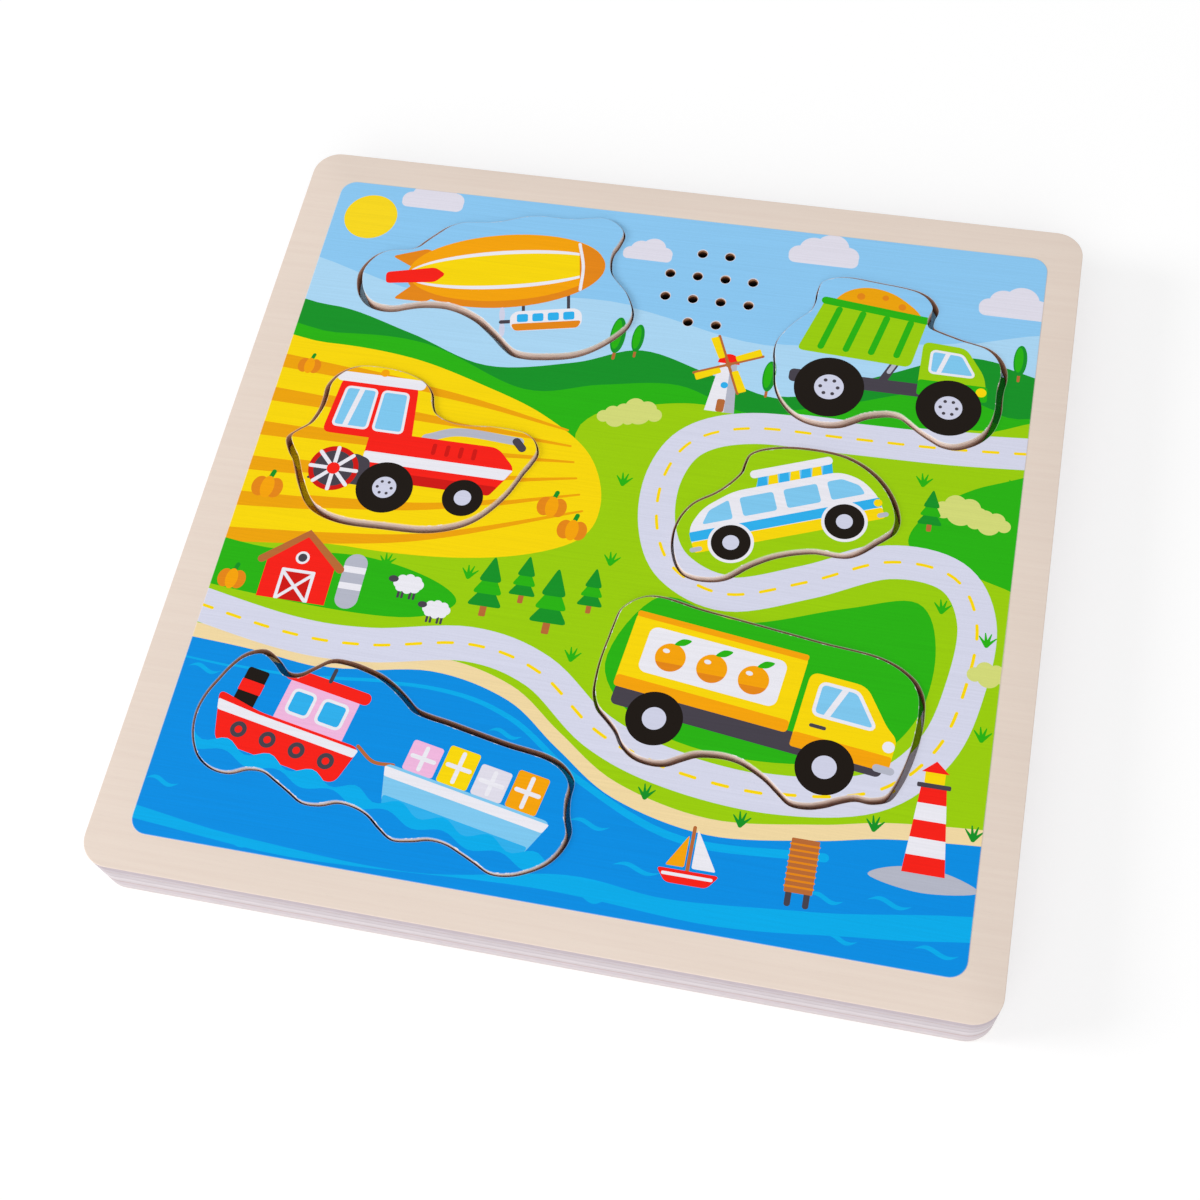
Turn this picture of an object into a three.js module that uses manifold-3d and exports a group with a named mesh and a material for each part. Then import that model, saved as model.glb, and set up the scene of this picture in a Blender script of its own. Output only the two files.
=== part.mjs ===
// Wooden sound puzzle: a square tray of glued boards with six lift-out pieces, a speaker under a
// group of sound holes, a light sensor under each piece and a battery compartment in the back.
// Millimetres, +Z up. X runs along the lower edge of the board and Y up the picture.
// The origin is the middle of the underside.
import * as THREE from "three";
import { mergeVertices } from "three/addons/utils/BufferGeometryUtils.js";
import Module from "manifold-3d";

// Boards and papers
const boardSide = 300;
const boardCornerRadius = 10;
const backThickness = 3;
const floorThickness = 3;
const faceThickness = 6;
const paperThickness = 0.2;
const borderWidth = 13;
const printCornerRadius = 6;
const printShift = 0.9; // the picture lies this far right of the middle

// Lift-out pieces
const pieceThickness = 7.5;
const pieceClearance = 1.5; // all round a piece in the middle of its recess
const outlineSteps = 56;

// Sound holes and speaker
const soundHoleDiameter = 3.7;
const soundHolePitch = 10.5;
const soundHoleRows = [2, 4, 4, 2];
const speakerDiameter = 40;
const speakerRimWidth = 3;
const speakerRimThickness = 1.2;
const basketBackDiameter = 22;
const basketWall = 0.8;
const basketMouth = 5; // radius of the opening behind the cone
const magnetDiameter = 18;
const magnetThickness = 2.6;
const coneThickness = 0.6;
const coneDepth = 3;
const dustCapRadius = 6;
const dustCapHeight = 1.6;

// Light sensors
const sensorDiameter = 5;
const sensorFlangeDiameter = 7;
const sensorFlangeThickness = 1.2;
const sensorStemDiameter = 3;
const sensorSink = 0.6; // from the recess floor down to the sensor's face

// Circuit and leads
const circuitLength = 40;
const circuitWidth = 24;
const circuitThickness = 1.6;
const circuitBayFloor = 2; // wood left under the circuit board
const chipDiameter = 11;
const chipHeight = 2;
const padInset = 3; // from the circuit board's edge to the end of a lead
const padPitch = 8;
const leadDiameter = 1.8;
const grooveWidth = 4;

// Battery cells and contacts
const cellDiameter = 10.5;
const cellLength = 44.5;
const nubDiameter = 3.8;
const nubLength = 0.9;
const cellGap = 0.6; // between the two cells
const springWire = 0.6;
const springDiameter = 6;
const springTurns = 3;
const springLength = 5.5;
const contactThickness = 0.4;
const contactSide = 7;

// Battery housing, cover and screw
const housingSink = 0.5; // from the underside of the board up to the housing
const housingWall = 1.5;
const housingRoof = 0.8;
const housingCornerRadius = 3;
const flangeWidth = 4.5;
const coverThickness = 1.8;
const coverLap = 2; // how far the cover rests on the ledge round the cells
const coverCornerRadius = 2;
const tabLength = 1.2;
const tabWidth = 6;
const tabThickness = 0.6;
const tabSpacing = 16;
const tabRise = 0.5; // from the cover's outer face up to the tabs
const screwBlockLength = 7.5;
const screwDiameter = 2.8;
const screwLength = 5.5;
const screwHeadDiameter = 5.4;
const screwHeadThickness = 0.9;
const screwSlotWidth = 0.8;
const screwSlotLength = 3.6;
const screwSlotDepth = 0.5;

// Clearances
const seatGap = 0.3; // between parts that are fitted together
const headGap = 0.1; // over the screw's head
const pocketGap = 0.5; // round what drops into a pocket in the wood
const tabSwing = 0.8; // room over the tabs as the cover tips open
const screwPlay = 0.6; // round the screw in its block, so that it tips out with the cover

// Steps on round faces
const arcSteps = 4;
const latheSteps = 16;

// Heights, from the underside up
const coverTop = housingSink + coverThickness;
const cellMiddle = coverTop + seatGap + cellDiameter / 2;
const cavityTop = coverTop + cellDiameter + 2 * seatGap;
const coreTop = cavityTop + housingRoof;
const floorTop = coreTop + floorThickness;
const floorPrintTop = floorTop + paperThickness;
const faceTop = floorPrintTop + faceThickness;
const pieceTop = floorPrintTop + pieceThickness;
const circuitSeat = backThickness + circuitBayFloor;
const circuitTop = circuitSeat + circuitThickness;
const leadMiddle = circuitTop + seatGap + leadDiameter / 2;
const leadTop = leadMiddle + leadDiameter / 2;

// Places on the picture are in hundredths of its side, from its middle
const pictureSide = boardSide - 2 * borderWidth;
function onPicture([across, up]) {
  const unit = pictureSide / 100;
  return new THREE.Vector2(printShift + across * unit, up * unit);
}
const speakerPlace = onPicture([5.4, 38.6]);
const circuitPlace = onPicture([-3.2, 13.1]);
const batteryPlace = onPicture([-2.2, -19]);

// Each piece: its outline, how far it leans from the middle of its recess as a share of the
// clearance, and the pad on the circuit board that its sensor's lead runs to (side, row)
const pieces = [
  {
    name: "airship",
    color: 0xf3a800,
    lean: [0.5, 0.4],
    pad: [-1, 1],
    outline: [
      [-42.8, 34.5], [-40.8, 38], [-36.5, 39.2], [-34.5, 41.4], [-31.7, 44.2], [-25.9, 45.4],
      [-21.1, 47.1], [-15.7, 47.3], [-10.5, 48], [-8, 46], [-8.9, 42.3], [-8.4, 39.1],
      [-5.4, 35.6], [-4.2, 32.1], [-6.2, 28.8], [-9.8, 25.9], [-13.5, 24.8], [-18.6, 24.6],
      [-21.5, 26.8], [-25, 29.4], [-29.2, 30.8], [-33.4, 30.5], [-37.9, 29.2], [-41.2, 30.3],
    ],
  },
  {
    name: "tipper",
    color: 0x99cc03,
    lean: [-0.6, 0.1],
    pad: [1, 1],
    outline: [
      [20.5, 41.6], [23, 42.7], [27.4, 42.5], [34, 41.4], [35.6, 39.4], [35.1, 36.7],
      [38.9, 35], [43.8, 33.6], [45.5, 31], [45.3, 27.6], [45.3, 24.1], [44, 20.8],
      [40.2, 18.7], [36.2, 20.4], [33.1, 22.4], [29.4, 21.9], [25, 19.7], [20.3, 20.3],
      [17.2, 23.5], [16.3, 27.4], [15.9, 31], [17.7, 34.5], [19.9, 37.2],
    ],
  },
  {
    name: "harvester",
    color: 0xfd1f14,
    lean: [0.5, 0.4],
    pad: [-1, 0],
    outline: [
      [-45.4, 6.8], [-43.2, 9.1], [-42.2, 12.4], [-42.1, 16.1], [-39.7, 18.6], [-36.1, 19.1],
      [-31.7, 18.5], [-28.8, 16.8], [-27.3, 13.3], [-24.2, 11.9], [-17.8, 12.2], [-13.8, 11.6],
      [-12.4, 9.5], [-13.5, 6.6], [-15.3, 2.4], [-18.6, -1.6], [-23.1, -3.6], [-29.5, -4.1],
      [-36.1, -4], [-39.7, -2.6], [-41.9, 0.4], [-43.6, 3.8],
    ],
  },
  {
    name: "camper",
    color: 0xe2e0eb,
    lean: [-0.3, -0.2],
    pad: [1, 0],
    outline: [
      [15.4, 13.1], [18.3, 14.5], [22.8, 15], [27.8, 14.4], [31.8, 12], [34.3, 8.4],
      [34.7, 5.5], [32.9, 3.5], [29.6, 0.9], [25.2, 0.8], [20.8, -0.5], [17.7, -2.3],
      [14.3, -4.9], [9.9, -4.9], [8.2, -2.5], [7.8, 1.3], [9.2, 4.6], [12.4, 7.2], [14.8, 10.4],
    ],
  },
  {
    name: "lorry",
    color: 0xf8d800,
    lean: [-0.4, 0.2],
    pad: [1, -1],
    outline: [
      [3.2, -11.3], [6.1, -9.1], [13.5, -10], [27.6, -11.9], [36.5, -13.2], [40.2, -15.9],
      [40.9, -20.6], [39.6, -27.6], [38, -30.4], [34.3, -30.7], [31.1, -32.1], [27.8, -32.6],
      [24.5, -30.2], [20.3, -28.2], [15.5, -28.4], [11.4, -30.3], [7.5, -29.5], [5.3, -26.7],
      [2.5, -23.9], [2, -19.7], [2.7, -13.9],
    ],
  },
  {
    name: "tug",
    color: 0x82cdf5,
    lean: [-0.1, -0.6],
    pad: [-1, -1],
    outline: [
      [-44.5, -29.2], [-42.3, -25.7], [-39.7, -24.8], [-37.4, -26.6], [-35.7, -27.6],
      [-33.4, -26.3], [-31, -24.6], [-25.1, -25.5], [-21.7, -27.4], [-19.3, -29.3],
      [-14.6, -30.3], [-7.6, -31.7], [-0.7, -33], [1.4, -35], [1.4, -38.1], [2.4, -41.6],
      [0.6, -45.1], [-4.7, -47.4], [-8.7, -45.8], [-12.6, -44.5], [-18, -45.3], [-21.5, -42.9],
      [-25.1, -41.9], [-29.2, -42.9], [-33.2, -40.9], [-36.6, -39.5], [-40.7, -40.7],
      [-44.1, -39.2], [-45.9, -35], [-45.6, -31.8],
    ],
  },
];

// Surface finishes
const plywood = { color: 0xe3cfba, roughness: 0.65, metalness: 0 };
const fibreboard = { color: 0xc2a17c, roughness: 0.8, metalness: 0 };
const printedPaper = { color: 0x35af0f, roughness: 0.4, metalness: 0 };
const blackPlastic = { color: 0x24242a, roughness: 0.5, metalness: 0 };
const whitePlastic = { color: 0xe8e6e0, roughness: 0.45, metalness: 0 };
const steel = { color: 0xb8babd, roughness: 0.3, metalness: 1 };
const blackPaper = { color: 0x2b2926, roughness: 0.9, metalness: 0 };
const greenLaminate = { color: 0x2c7a45, roughness: 0.45, metalness: 0 };
const blackResin = { color: 0x18181a, roughness: 0.3, metalness: 0 };
const cellLabel = { color: 0x2f6fb4, roughness: 0.35, metalness: 0.2 };
const leadCover = { color: 0xb5322b, roughness: 0.5, metalness: 0 };

const wasm = await Module();
wasm.setup();

const puzzle = new THREE.Group();

function addPart(parent, name, geometry, finish, place = [0, 0, 0]) {
  const part = new THREE.Mesh(geometry, new THREE.MeshStandardMaterial(finish));
  part.name = name;
  part.position.set(...place);
  parent.add(part);
  return part;
}

// Solids for cutting and joining
function toSolid(geometry) {
  const bare = geometry.index ? geometry.toNonIndexed() : geometry.clone();
  bare.deleteAttribute("normal");
  bare.deleteAttribute("uv");
  const merged = mergeVertices(bare, 1e-4);
  const vertProperties = new Float32Array(merged.attributes.position.array);
  const triVerts = new Uint32Array(merged.index.array);
  return new wasm.Manifold(new wasm.Mesh({ numProp: 3, vertProperties, triVerts }));
}

function toGeometry(solid) {
  const mesh = solid.getMesh();
  const geometry = new THREE.BufferGeometry();
  geometry.setAttribute("position", new THREE.BufferAttribute(mesh.vertProperties, 3));
  geometry.setIndex(new THREE.BufferAttribute(mesh.triVerts, 1));
  geometry.computeVertexNormals();
  return geometry;
}

function join(geometries) {
  const [first, ...rest] = geometries.map(toSolid);
  return toGeometry(rest.reduce((solid, other) => solid.add(other), first));
}

function cut(geometry, cutters) {
  return toGeometry(cutters.reduce((solid, other) => solid.subtract(toSolid(other)), toSolid(geometry)));
}

// Shapes that several parts share
function roundedRectangle(left, right, bottom, top, radius) {
  const shape = new THREE.Shape();
  shape.absarc(right - radius, top - radius, radius, 0, 0.5 * Math.PI);
  shape.absarc(left + radius, top - radius, radius, 0.5 * Math.PI, Math.PI);
  shape.absarc(left + radius, bottom + radius, radius, Math.PI, 1.5 * Math.PI);
  shape.absarc(right - radius, bottom + radius, radius, 1.5 * Math.PI, 2 * Math.PI);
  shape.closePath();
  return shape;
}

function circle(place, diameter) {
  return new THREE.Shape().absarc(place.x, place.y, diameter / 2, 0, 2 * Math.PI);
}

function plate(shape, bottom, top) {
  const settings = { depth: top - bottom, bevelEnabled: false, curveSegments: arcSteps };
  return new THREE.ExtrudeGeometry(shape, settings).translate(0, 0, bottom);
}

function block(left, right, front, back, bottom, top) {
  const geometry = new THREE.BoxGeometry(right - left, back - front, top - bottom);
  return geometry.translate((left + right) / 2, (front + back) / 2, (bottom + top) / 2);
}

function rod(place, diameter, bottom, top) {
  const geometry = new THREE.CylinderGeometry(diameter / 2, diameter / 2, top - bottom, latheSteps);
  return geometry.rotateX(Math.PI / 2).translate(place.x, place.y, (bottom + top) / 2);
}

// A profile of [radius, height] turned about Z
function turned(profile) {
  const points = profile.map(([radius, height]) => new THREE.Vector2(radius, height));
  return new THREE.LatheGeometry(points, latheSteps).rotateX(Math.PI / 2);
}

function tube(path, diameter, steps) {
  const section = circle(new THREE.Vector2(), diameter);
  return new THREE.ExtrudeGeometry(section, { steps, extrudePath: path, curveSegments: 3 });
}

// Piece and recess outlines
function smoothOutline(places) {
  const knots = places.map(onPicture).map((at) => new THREE.Vector3(at.x, at.y, 0));
  const loop = new THREE.CatmullRomCurve3(knots, true).getSpacedPoints(outlineSteps);
  loop.pop();
  return loop.map((at) => new THREE.Vector2(at.x, at.y));
}

function grownOutline(outline, distance, lean) {
  const side = THREE.ShapeUtils.isClockWise(outline) ? 1 : -1;
  return outline.map((at, i) => {
    const before = outline[(i + outline.length - 1) % outline.length];
    const after = outline[(i + 1) % outline.length];
    const along = after.clone().sub(before).normalize();
    const outward = new THREE.Vector2(-along.y, along.x).multiplyScalar(side * distance);
    return at.clone().add(outward).sub(lean);
  });
}

function middleOf(outline) {
  const sum = outline.reduce((total, at) => total.add(at), new THREE.Vector2());
  return sum.divideScalar(outline.length);
}

for (const piece of pieces) {
  const [across, up] = piece.lean;
  const lean = new THREE.Vector2(across, up).multiplyScalar(pieceClearance);
  piece.shape = smoothOutline(piece.outline);
  piece.recess = grownOutline(piece.shape, pieceClearance, lean);
  piece.sensorPlace = middleOf(piece.recess);
}

function soundHolePlaces() {
  return soundHoleRows.flatMap((count, row) => {
    const up = ((soundHoleRows.length - 1) / 2 - row) * soundHolePitch;
    const first = (-(count - 1) / 2) * soundHolePitch;
    return Array.from({ length: count }, (_, i) =>
      speakerPlace.clone().add(new THREE.Vector2(first + i * soundHolePitch, up)),
    );
  });
}

// Battery compartment sizes, from the middle of the cells
const cavityLength = springLength + cellLength + seatGap + contactThickness;
const cavityWidth = 2 * cellDiameter + cellGap + 2 * seatGap;
const cavityRight = cavityLength / 2;
const cavityBack = cavityWidth / 2;
const bodyLeft = -cavityRight - housingWall;
const bodyRight = cavityRight + housingWall + screwBlockLength;
const bodyBack = cavityBack + housingWall;
const coverLeft = -cavityRight - coverLap;
const coverRight = bodyRight;
const coverBack = cavityBack + coverLap;
const flangeLeft = coverLeft - flangeWidth;
const flangeRight = coverRight + flangeWidth;
const flangeBack = coverBack + flangeWidth;
const screwPlace = new THREE.Vector2(cavityRight + housingWall + screwBlockLength / 2, 0);

// The tray's boards and papers
function boardOutline() {
  const half = boardSide / 2;
  return roundedRectangle(-half, half, -half, half, boardCornerRadius);
}

function printOutline() {
  const half = pictureSide / 2;
  return roundedRectangle(printShift - half, printShift + half, -half, half, printCornerRadius);
}

function withHoles(shape, holes) {
  shape.holes.push(...holes);
  return shape;
}

const soundHoles = soundHolePlaces().map((at) => circle(at, soundHoleDiameter));
const sensorHoles = pieces.map((piece) => circle(piece.sensorPlace, sensorDiameter + 2 * seatGap));
const recesses = pieces.map((piece) => new THREE.Shape(piece.recess));

const faceShape = withHoles(boardOutline(), [...recesses, ...soundHoles]);
const facePrintShape = withHoles(printOutline(), [...recesses, ...soundHoles]);
const floorShape = withHoles(boardOutline(), [...sensorHoles, ...soundHoles]);
addPart(puzzle, "face_board", plate(faceShape, floorPrintTop, faceTop), plywood);
addPart(puzzle, "face_print", plate(facePrintShape, faceTop, faceTop + paperThickness), printedPaper);
addPart(puzzle, "floor_board", plate(floorShape, coreTop, floorTop), plywood);
addPart(puzzle, "floor_print", plate(floorShape, floorTop, floorPrintTop), printedPaper);

const batteryOpening = roundedRectangle(
  batteryPlace.x + flangeLeft - seatGap,
  batteryPlace.x + flangeRight + seatGap,
  batteryPlace.y - flangeBack - seatGap,
  batteryPlace.y + flangeBack + seatGap,
  housingCornerRadius + seatGap,
);
const backShape = withHoles(boardOutline(), [batteryOpening]);
addPart(puzzle, "back_board", plate(backShape, 0, backThickness), plywood);

// Leads run straight in grooves from the circuit board to what they serve
function circuitPad([side, row]) {
  const across = side * (circuitLength / 2 - padInset);
  return circuitPlace.clone().add(new THREE.Vector2(across, row * padPitch));
}

const basketReach = basketBackDiameter / 2 + (speakerDiameter - basketBackDiameter) / 4;
const speakerPad = circuitPlace.clone().add(new THREE.Vector2(padPitch, circuitWidth / 2 - padInset));
const towardsSpeaker = speakerPlace.clone().sub(speakerPad).normalize();
const batteryPad = circuitPlace.clone().add(new THREE.Vector2(0, padInset - circuitWidth / 2));
const leads = [
  {
    name: "speaker_lead",
    from: speakerPad,
    to: speakerPlace.clone().addScaledVector(towardsSpeaker, -basketReach - leadDiameter),
  },
  {
    name: "battery_lead",
    from: batteryPad,
    to: new THREE.Vector2(batteryPad.x, batteryPlace.y + bodyBack + seatGap),
  },
  ...pieces.map((piece) => ({
    name: piece.name + "_sensor_lead",
    from: circuitPad(piece.pad),
    to: piece.sensorPlace,
  })),
];

function groove(from, to) {
  const along = to.clone().sub(from);
  const length = along.length();
  const cutter = block(0, length, -grooveWidth / 2, grooveWidth / 2, circuitTop, coreTop + pocketGap);
  return cutter.rotateZ(along.angle()).translate(from.x, from.y, 0);
}

// The core board has a pocket for each thing inside and a groove for each lead
const over = coreTop + pocketGap;
const under = backThickness - pocketGap;
const corePockets = [
  rod(speakerPlace, speakerDiameter + 2 * pocketGap, under, over),
  block(
    batteryPlace.x + bodyLeft - pocketGap,
    batteryPlace.x + bodyRight + pocketGap,
    batteryPlace.y - bodyBack - pocketGap,
    batteryPlace.y + bodyBack + pocketGap,
    under,
    over,
  ),
  block(
    circuitPlace.x - circuitLength / 2 - pocketGap,
    circuitPlace.x + circuitLength / 2 + pocketGap,
    circuitPlace.y - circuitWidth / 2 - pocketGap,
    circuitPlace.y + circuitWidth / 2 + pocketGap,
    circuitSeat,
    over,
  ),
  ...pieces.map((piece) =>
    rod(piece.sensorPlace, sensorFlangeDiameter + 2 * pocketGap, circuitTop, over),
  ),
  ...leads.map((lead) => groove(lead.from, lead.to)),
];
const coreBlank = plate(boardOutline(), backThickness, coreTop);
addPart(puzzle, "core_board", cut(coreBlank, corePockets), fibreboard);

for (const lead of leads) {
  const start = new THREE.Vector3(lead.from.x, lead.from.y, leadMiddle);
  const end = new THREE.Vector3(lead.to.x, lead.to.y, leadMiddle);
  addPart(puzzle, lead.name, tube(new THREE.LineCurve3(start, end), leadDiameter, 1), leadCover);
}

// Circuit board with its chip under a drop of resin
const circuit = new THREE.Group();
circuit.position.set(circuitPlace.x, circuitPlace.y, circuitSeat);
puzzle.add(circuit);
const circuitPlate = block(
  -circuitLength / 2,
  circuitLength / 2,
  -circuitWidth / 2,
  circuitWidth / 2,
  0,
  circuitThickness,
);
addPart(circuit, "circuit_board", circuitPlate, greenLaminate);
const chipProfile = [
  [0, 0],
  [0.5 * chipDiameter, 0],
  [0.45 * chipDiameter, 0.5 * chipHeight],
  [0.28 * chipDiameter, 0.88 * chipHeight],
  [0, chipHeight],
];
addPart(circuit, "sound_chip", turned(chipProfile), blackResin, [0, 0, circuitThickness]);

// Speaker, hung under the floor board by its rim
const speaker = new THREE.Group();
speaker.position.set(speakerPlace.x, speakerPlace.y, coreTop);
puzzle.add(speaker);
const rimRadius = speakerDiameter / 2;
const rimInner = rimRadius - speakerRimWidth;
const backRadius = basketBackDiameter / 2;
const basketDepth = coreTop - backThickness - magnetThickness - seatGap;
const basketProfile = [
  [basketMouth, -basketDepth],
  [backRadius, -basketDepth],
  [rimInner + basketWall, -speakerRimThickness],
  [rimRadius, -speakerRimThickness],
  [rimRadius, 0],
  [rimInner, 0],
  [rimInner, -speakerRimThickness],
  [backRadius - basketWall, basketWall - basketDepth],
  [basketMouth, basketWall - basketDepth],
  [basketMouth, -basketDepth],
];
addPart(speaker, "speaker_basket", turned(basketProfile), steel);
const coneRadius = rimInner - seatGap;
const coneEdge = -speakerRimThickness;
const coneBottom = coneEdge - coneDepth;
const coneProfile = [
  [0, coneBottom],
  [dustCapRadius, coneBottom],
  [coneRadius, coneEdge],
  [coneRadius, coneEdge + coneThickness],
  [dustCapRadius, coneBottom + coneThickness],
  [dustCapRadius / 2, coneBottom + coneThickness + 0.75 * dustCapHeight],
  [0, coneBottom + coneThickness + dustCapHeight],
];
addPart(speaker, "speaker_cone", turned(coneProfile), blackPaper);
const magnetBottom = -basketDepth - magnetThickness;
const magnet = rod(new THREE.Vector2(), magnetDiameter, magnetBottom, -basketDepth);
addPart(speaker, "speaker_magnet", magnet, blackResin);

// Light sensors, each glued under the floor board with its face in a hole of the recess floor
const flangeBottom = coreTop - sensorFlangeThickness;
const sensorProfile = [
  [0, leadTop + seatGap],
  [sensorStemDiameter / 2, leadTop + seatGap],
  [sensorStemDiameter / 2, flangeBottom],
  [sensorFlangeDiameter / 2, flangeBottom],
  [sensorFlangeDiameter / 2, coreTop],
  [sensorDiameter / 2, coreTop],
  [sensorDiameter / 2, floorTop - sensorSink],
  [0, floorTop - sensorSink],
];
for (const piece of pieces) {
  const at = piece.sensorPlace;
  addPart(puzzle, piece.name + "_sensor", turned(sensorProfile), whitePlastic, [at.x, at.y, 0]);
}

// Battery housing, set into the back board
const battery = new THREE.Group();
battery.position.set(batteryPlace.x, batteryPlace.y, 0);
puzzle.add(battery);
const flangeShape = roundedRectangle(flangeLeft, flangeRight, -flangeBack, flangeBack, housingCornerRadius);
const housingBlank = join([
  plate(flangeShape, housingSink, backThickness),
  block(bodyLeft, bodyRight, -bodyBack, bodyBack, coverTop, coreTop),
]);
const rebate = roundedRectangle(
  coverLeft - seatGap,
  coverRight + seatGap,
  -coverBack - seatGap,
  coverBack + seatGap,
  coverCornerRadius + seatGap,
);
const tabBottom = housingSink + tabRise;
function tabAt(middle, gap) {
  return block(
    coverLeft - tabLength - gap,
    coverLeft + tabLength,
    middle - tabWidth / 2 - gap,
    middle + tabWidth / 2 + gap,
    tabBottom - gap / 2,
    tabBottom + tabThickness + (gap > 0 ? tabSwing : 0),
  );
}
const tabMiddles = [-tabSpacing / 2, tabSpacing / 2];
const screwTip = housingSink + screwHeadThickness + screwLength;
const housingCuts = [
  plate(rebate, 0, coverTop),
  block(-cavityRight, cavityRight, -cavityBack, cavityBack, housingSink, cavityTop),
  rod(screwPlace, screwDiameter + 2 * screwPlay, housingSink, screwTip + screwPlay),
  ...tabMiddles.map((middle) => tabAt(middle, seatGap)),
];
addPart(battery, "battery_housing", cut(housingBlank, housingCuts), blackPlastic);

// Cells and contacts
const cellProfile = [
  [0, 0],
  [cellDiameter / 2, 0],
  [cellDiameter / 2, cellLength - nubLength],
  [nubDiameter / 2, cellLength - nubLength],
  [nubDiameter / 2, cellLength],
  [0, cellLength],
];
const springRun = springLength - 2 * seatGap - springWire;
const springPath = new THREE.Curve();
springPath.getPoint = function (share, target = new THREE.Vector3()) {
  const angle = 2 * Math.PI * springTurns * share;
  const radius = (springDiameter - springWire) / 2;
  return target.set(radius * Math.cos(angle), radius * Math.sin(angle), springRun * share);
};
const springSteps = 8 * springTurns;
const springPoints = springPath.getPoints(springSteps);
const turnGaps = springPoints.flatMap((at, i) =>
  springPoints.slice(i + springSteps / springTurns / 2).map((other) => at.distanceTo(other)),
);
console.log("least gap between spring turns", Math.min(...turnGaps) - springWire);

for (const [index, side] of [1, -1].entries()) {
  const number = index + 1;
  const row = new THREE.Group();
  row.position.set(0, (side * (cellDiameter + cellGap)) / 2, cellMiddle);
  row.rotation.y = (side * Math.PI) / 2;
  battery.add(row);
  const cellStart = springLength - cavityRight;
  addPart(row, "battery_" + number, turned(cellProfile), cellLabel, [0, 0, cellStart]);
  const springStart = seatGap + springWire / 2 - cavityRight;
  const spring = tube(springPath, springWire, springSteps);
  addPart(row, "contact_spring_" + number, spring, steel, [0, 0, springStart]);
  const half = contactSide / 2;
  const contact = block(-half, half, -half, half, cavityRight - contactThickness, cavityRight);
  addPart(row, "contact_plate_" + number, contact, steel);
}

// Cover, tipping open on its two tabs, and its captive screw
const coverShape = roundedRectangle(coverLeft, coverRight, -coverBack, coverBack, coverCornerRadius);
const coverBlank = join([
  plate(coverShape, housingSink, coverTop),
  ...tabMiddles.map((middle) => tabAt(middle, 0)),
]);
const headTop = housingSink + screwHeadThickness;
const coverCuts = [
  rod(screwPlace, screwDiameter + 2 * seatGap, 0, coverTop + seatGap),
  rod(screwPlace, screwHeadDiameter + 2 * seatGap, 0, headTop + headGap),
];
addPart(battery, "battery_cover", cut(coverBlank, coverCuts), blackPlastic);

const screwProfile = [
  [0, housingSink],
  [screwHeadDiameter / 2, housingSink],
  [screwHeadDiameter / 2, headTop],
  [screwDiameter / 2, headTop],
  [screwDiameter / 2, screwTip],
  [0, screwTip],
];
const slotTop = housingSink + screwSlotDepth;
const slotHalfLength = screwSlotLength / 2;
const slotHalfWidth = screwSlotWidth / 2;
const screwSlots = [
  block(-slotHalfLength, slotHalfLength, -slotHalfWidth, slotHalfWidth, 0, slotTop),
  block(-slotHalfWidth, slotHalfWidth, -slotHalfLength, slotHalfLength, 0, slotTop),
];
const screw = cut(turned(screwProfile), screwSlots);
addPart(battery, "battery_screw", screw, steel, [screwPlace.x, screwPlace.y, 0]);

// The lift-out pieces, each a wooden shape with a printed face
for (const piece of pieces) {
  const shape = new THREE.Shape(piece.shape);
  addPart(puzzle, piece.name + "_piece", plate(shape, floorPrintTop, pieceTop), plywood);
  const face = plate(shape, pieceTop, pieceTop + paperThickness);
  addPart(puzzle, piece.name + "_print", face, { ...printedPaper, color: piece.color });
}

export default puzzle;
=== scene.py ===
import math

import bmesh
import bpy
import numpy as np
from mathutils import Matrix, Vector
from mathutils.geometry import delaunay_2d_cdt


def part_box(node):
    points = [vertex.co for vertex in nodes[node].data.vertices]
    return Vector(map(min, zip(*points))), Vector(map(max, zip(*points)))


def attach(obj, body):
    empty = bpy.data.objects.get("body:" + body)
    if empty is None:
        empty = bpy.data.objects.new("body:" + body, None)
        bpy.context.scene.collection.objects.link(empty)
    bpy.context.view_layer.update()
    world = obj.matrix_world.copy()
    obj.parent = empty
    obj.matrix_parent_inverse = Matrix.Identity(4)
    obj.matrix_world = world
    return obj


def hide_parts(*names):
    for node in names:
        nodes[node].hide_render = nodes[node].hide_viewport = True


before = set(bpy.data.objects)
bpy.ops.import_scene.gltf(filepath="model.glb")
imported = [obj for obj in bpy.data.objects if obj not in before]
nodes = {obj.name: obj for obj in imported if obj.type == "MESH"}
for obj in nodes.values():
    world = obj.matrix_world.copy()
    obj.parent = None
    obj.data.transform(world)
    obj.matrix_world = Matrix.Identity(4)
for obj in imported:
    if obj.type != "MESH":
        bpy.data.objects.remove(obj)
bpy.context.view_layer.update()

mm = 0.001  # shapes below are in millimetres, Blender is in metres
pieceNames = ("airship", "tipper", "harvester", "camper", "lorry", "tug")
print("frame loaded,", len(nodes), "nodes")


def linear(hexText):
    # sRGB hex to linear RGBA
    shares = [int(hexText[i:i + 2], 16) / 255 for i in (1, 3, 5)]
    return [c / 12.92 if c <= 0.04045 else ((c + 0.055) / 1.055) ** 2.4 for c in shares] + [1.0]


def addNode(tree, kind, settings=None, links=None):
    # settings name the node's own properties, or its inputs by name or number
    # a link comes from a socket, or from the first output of a node
    node = tree.nodes.new(kind)
    for key, value in (settings or {}).items():
        if isinstance(key, str) and hasattr(node, key):
            setattr(node, key, value)
        else:
            node.inputs[key].default_value = value
    for key, source in (links or {}).items():
        socket = source.outputs[0] if isinstance(source, bpy.types.Node) else source
        tree.links.new(socket, node.inputs[key])
    return node


def addObject(name, data):
    made = bpy.data.objects.new(name, data)
    bpy.context.scene.collection.objects.link(made)
    return made


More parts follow.
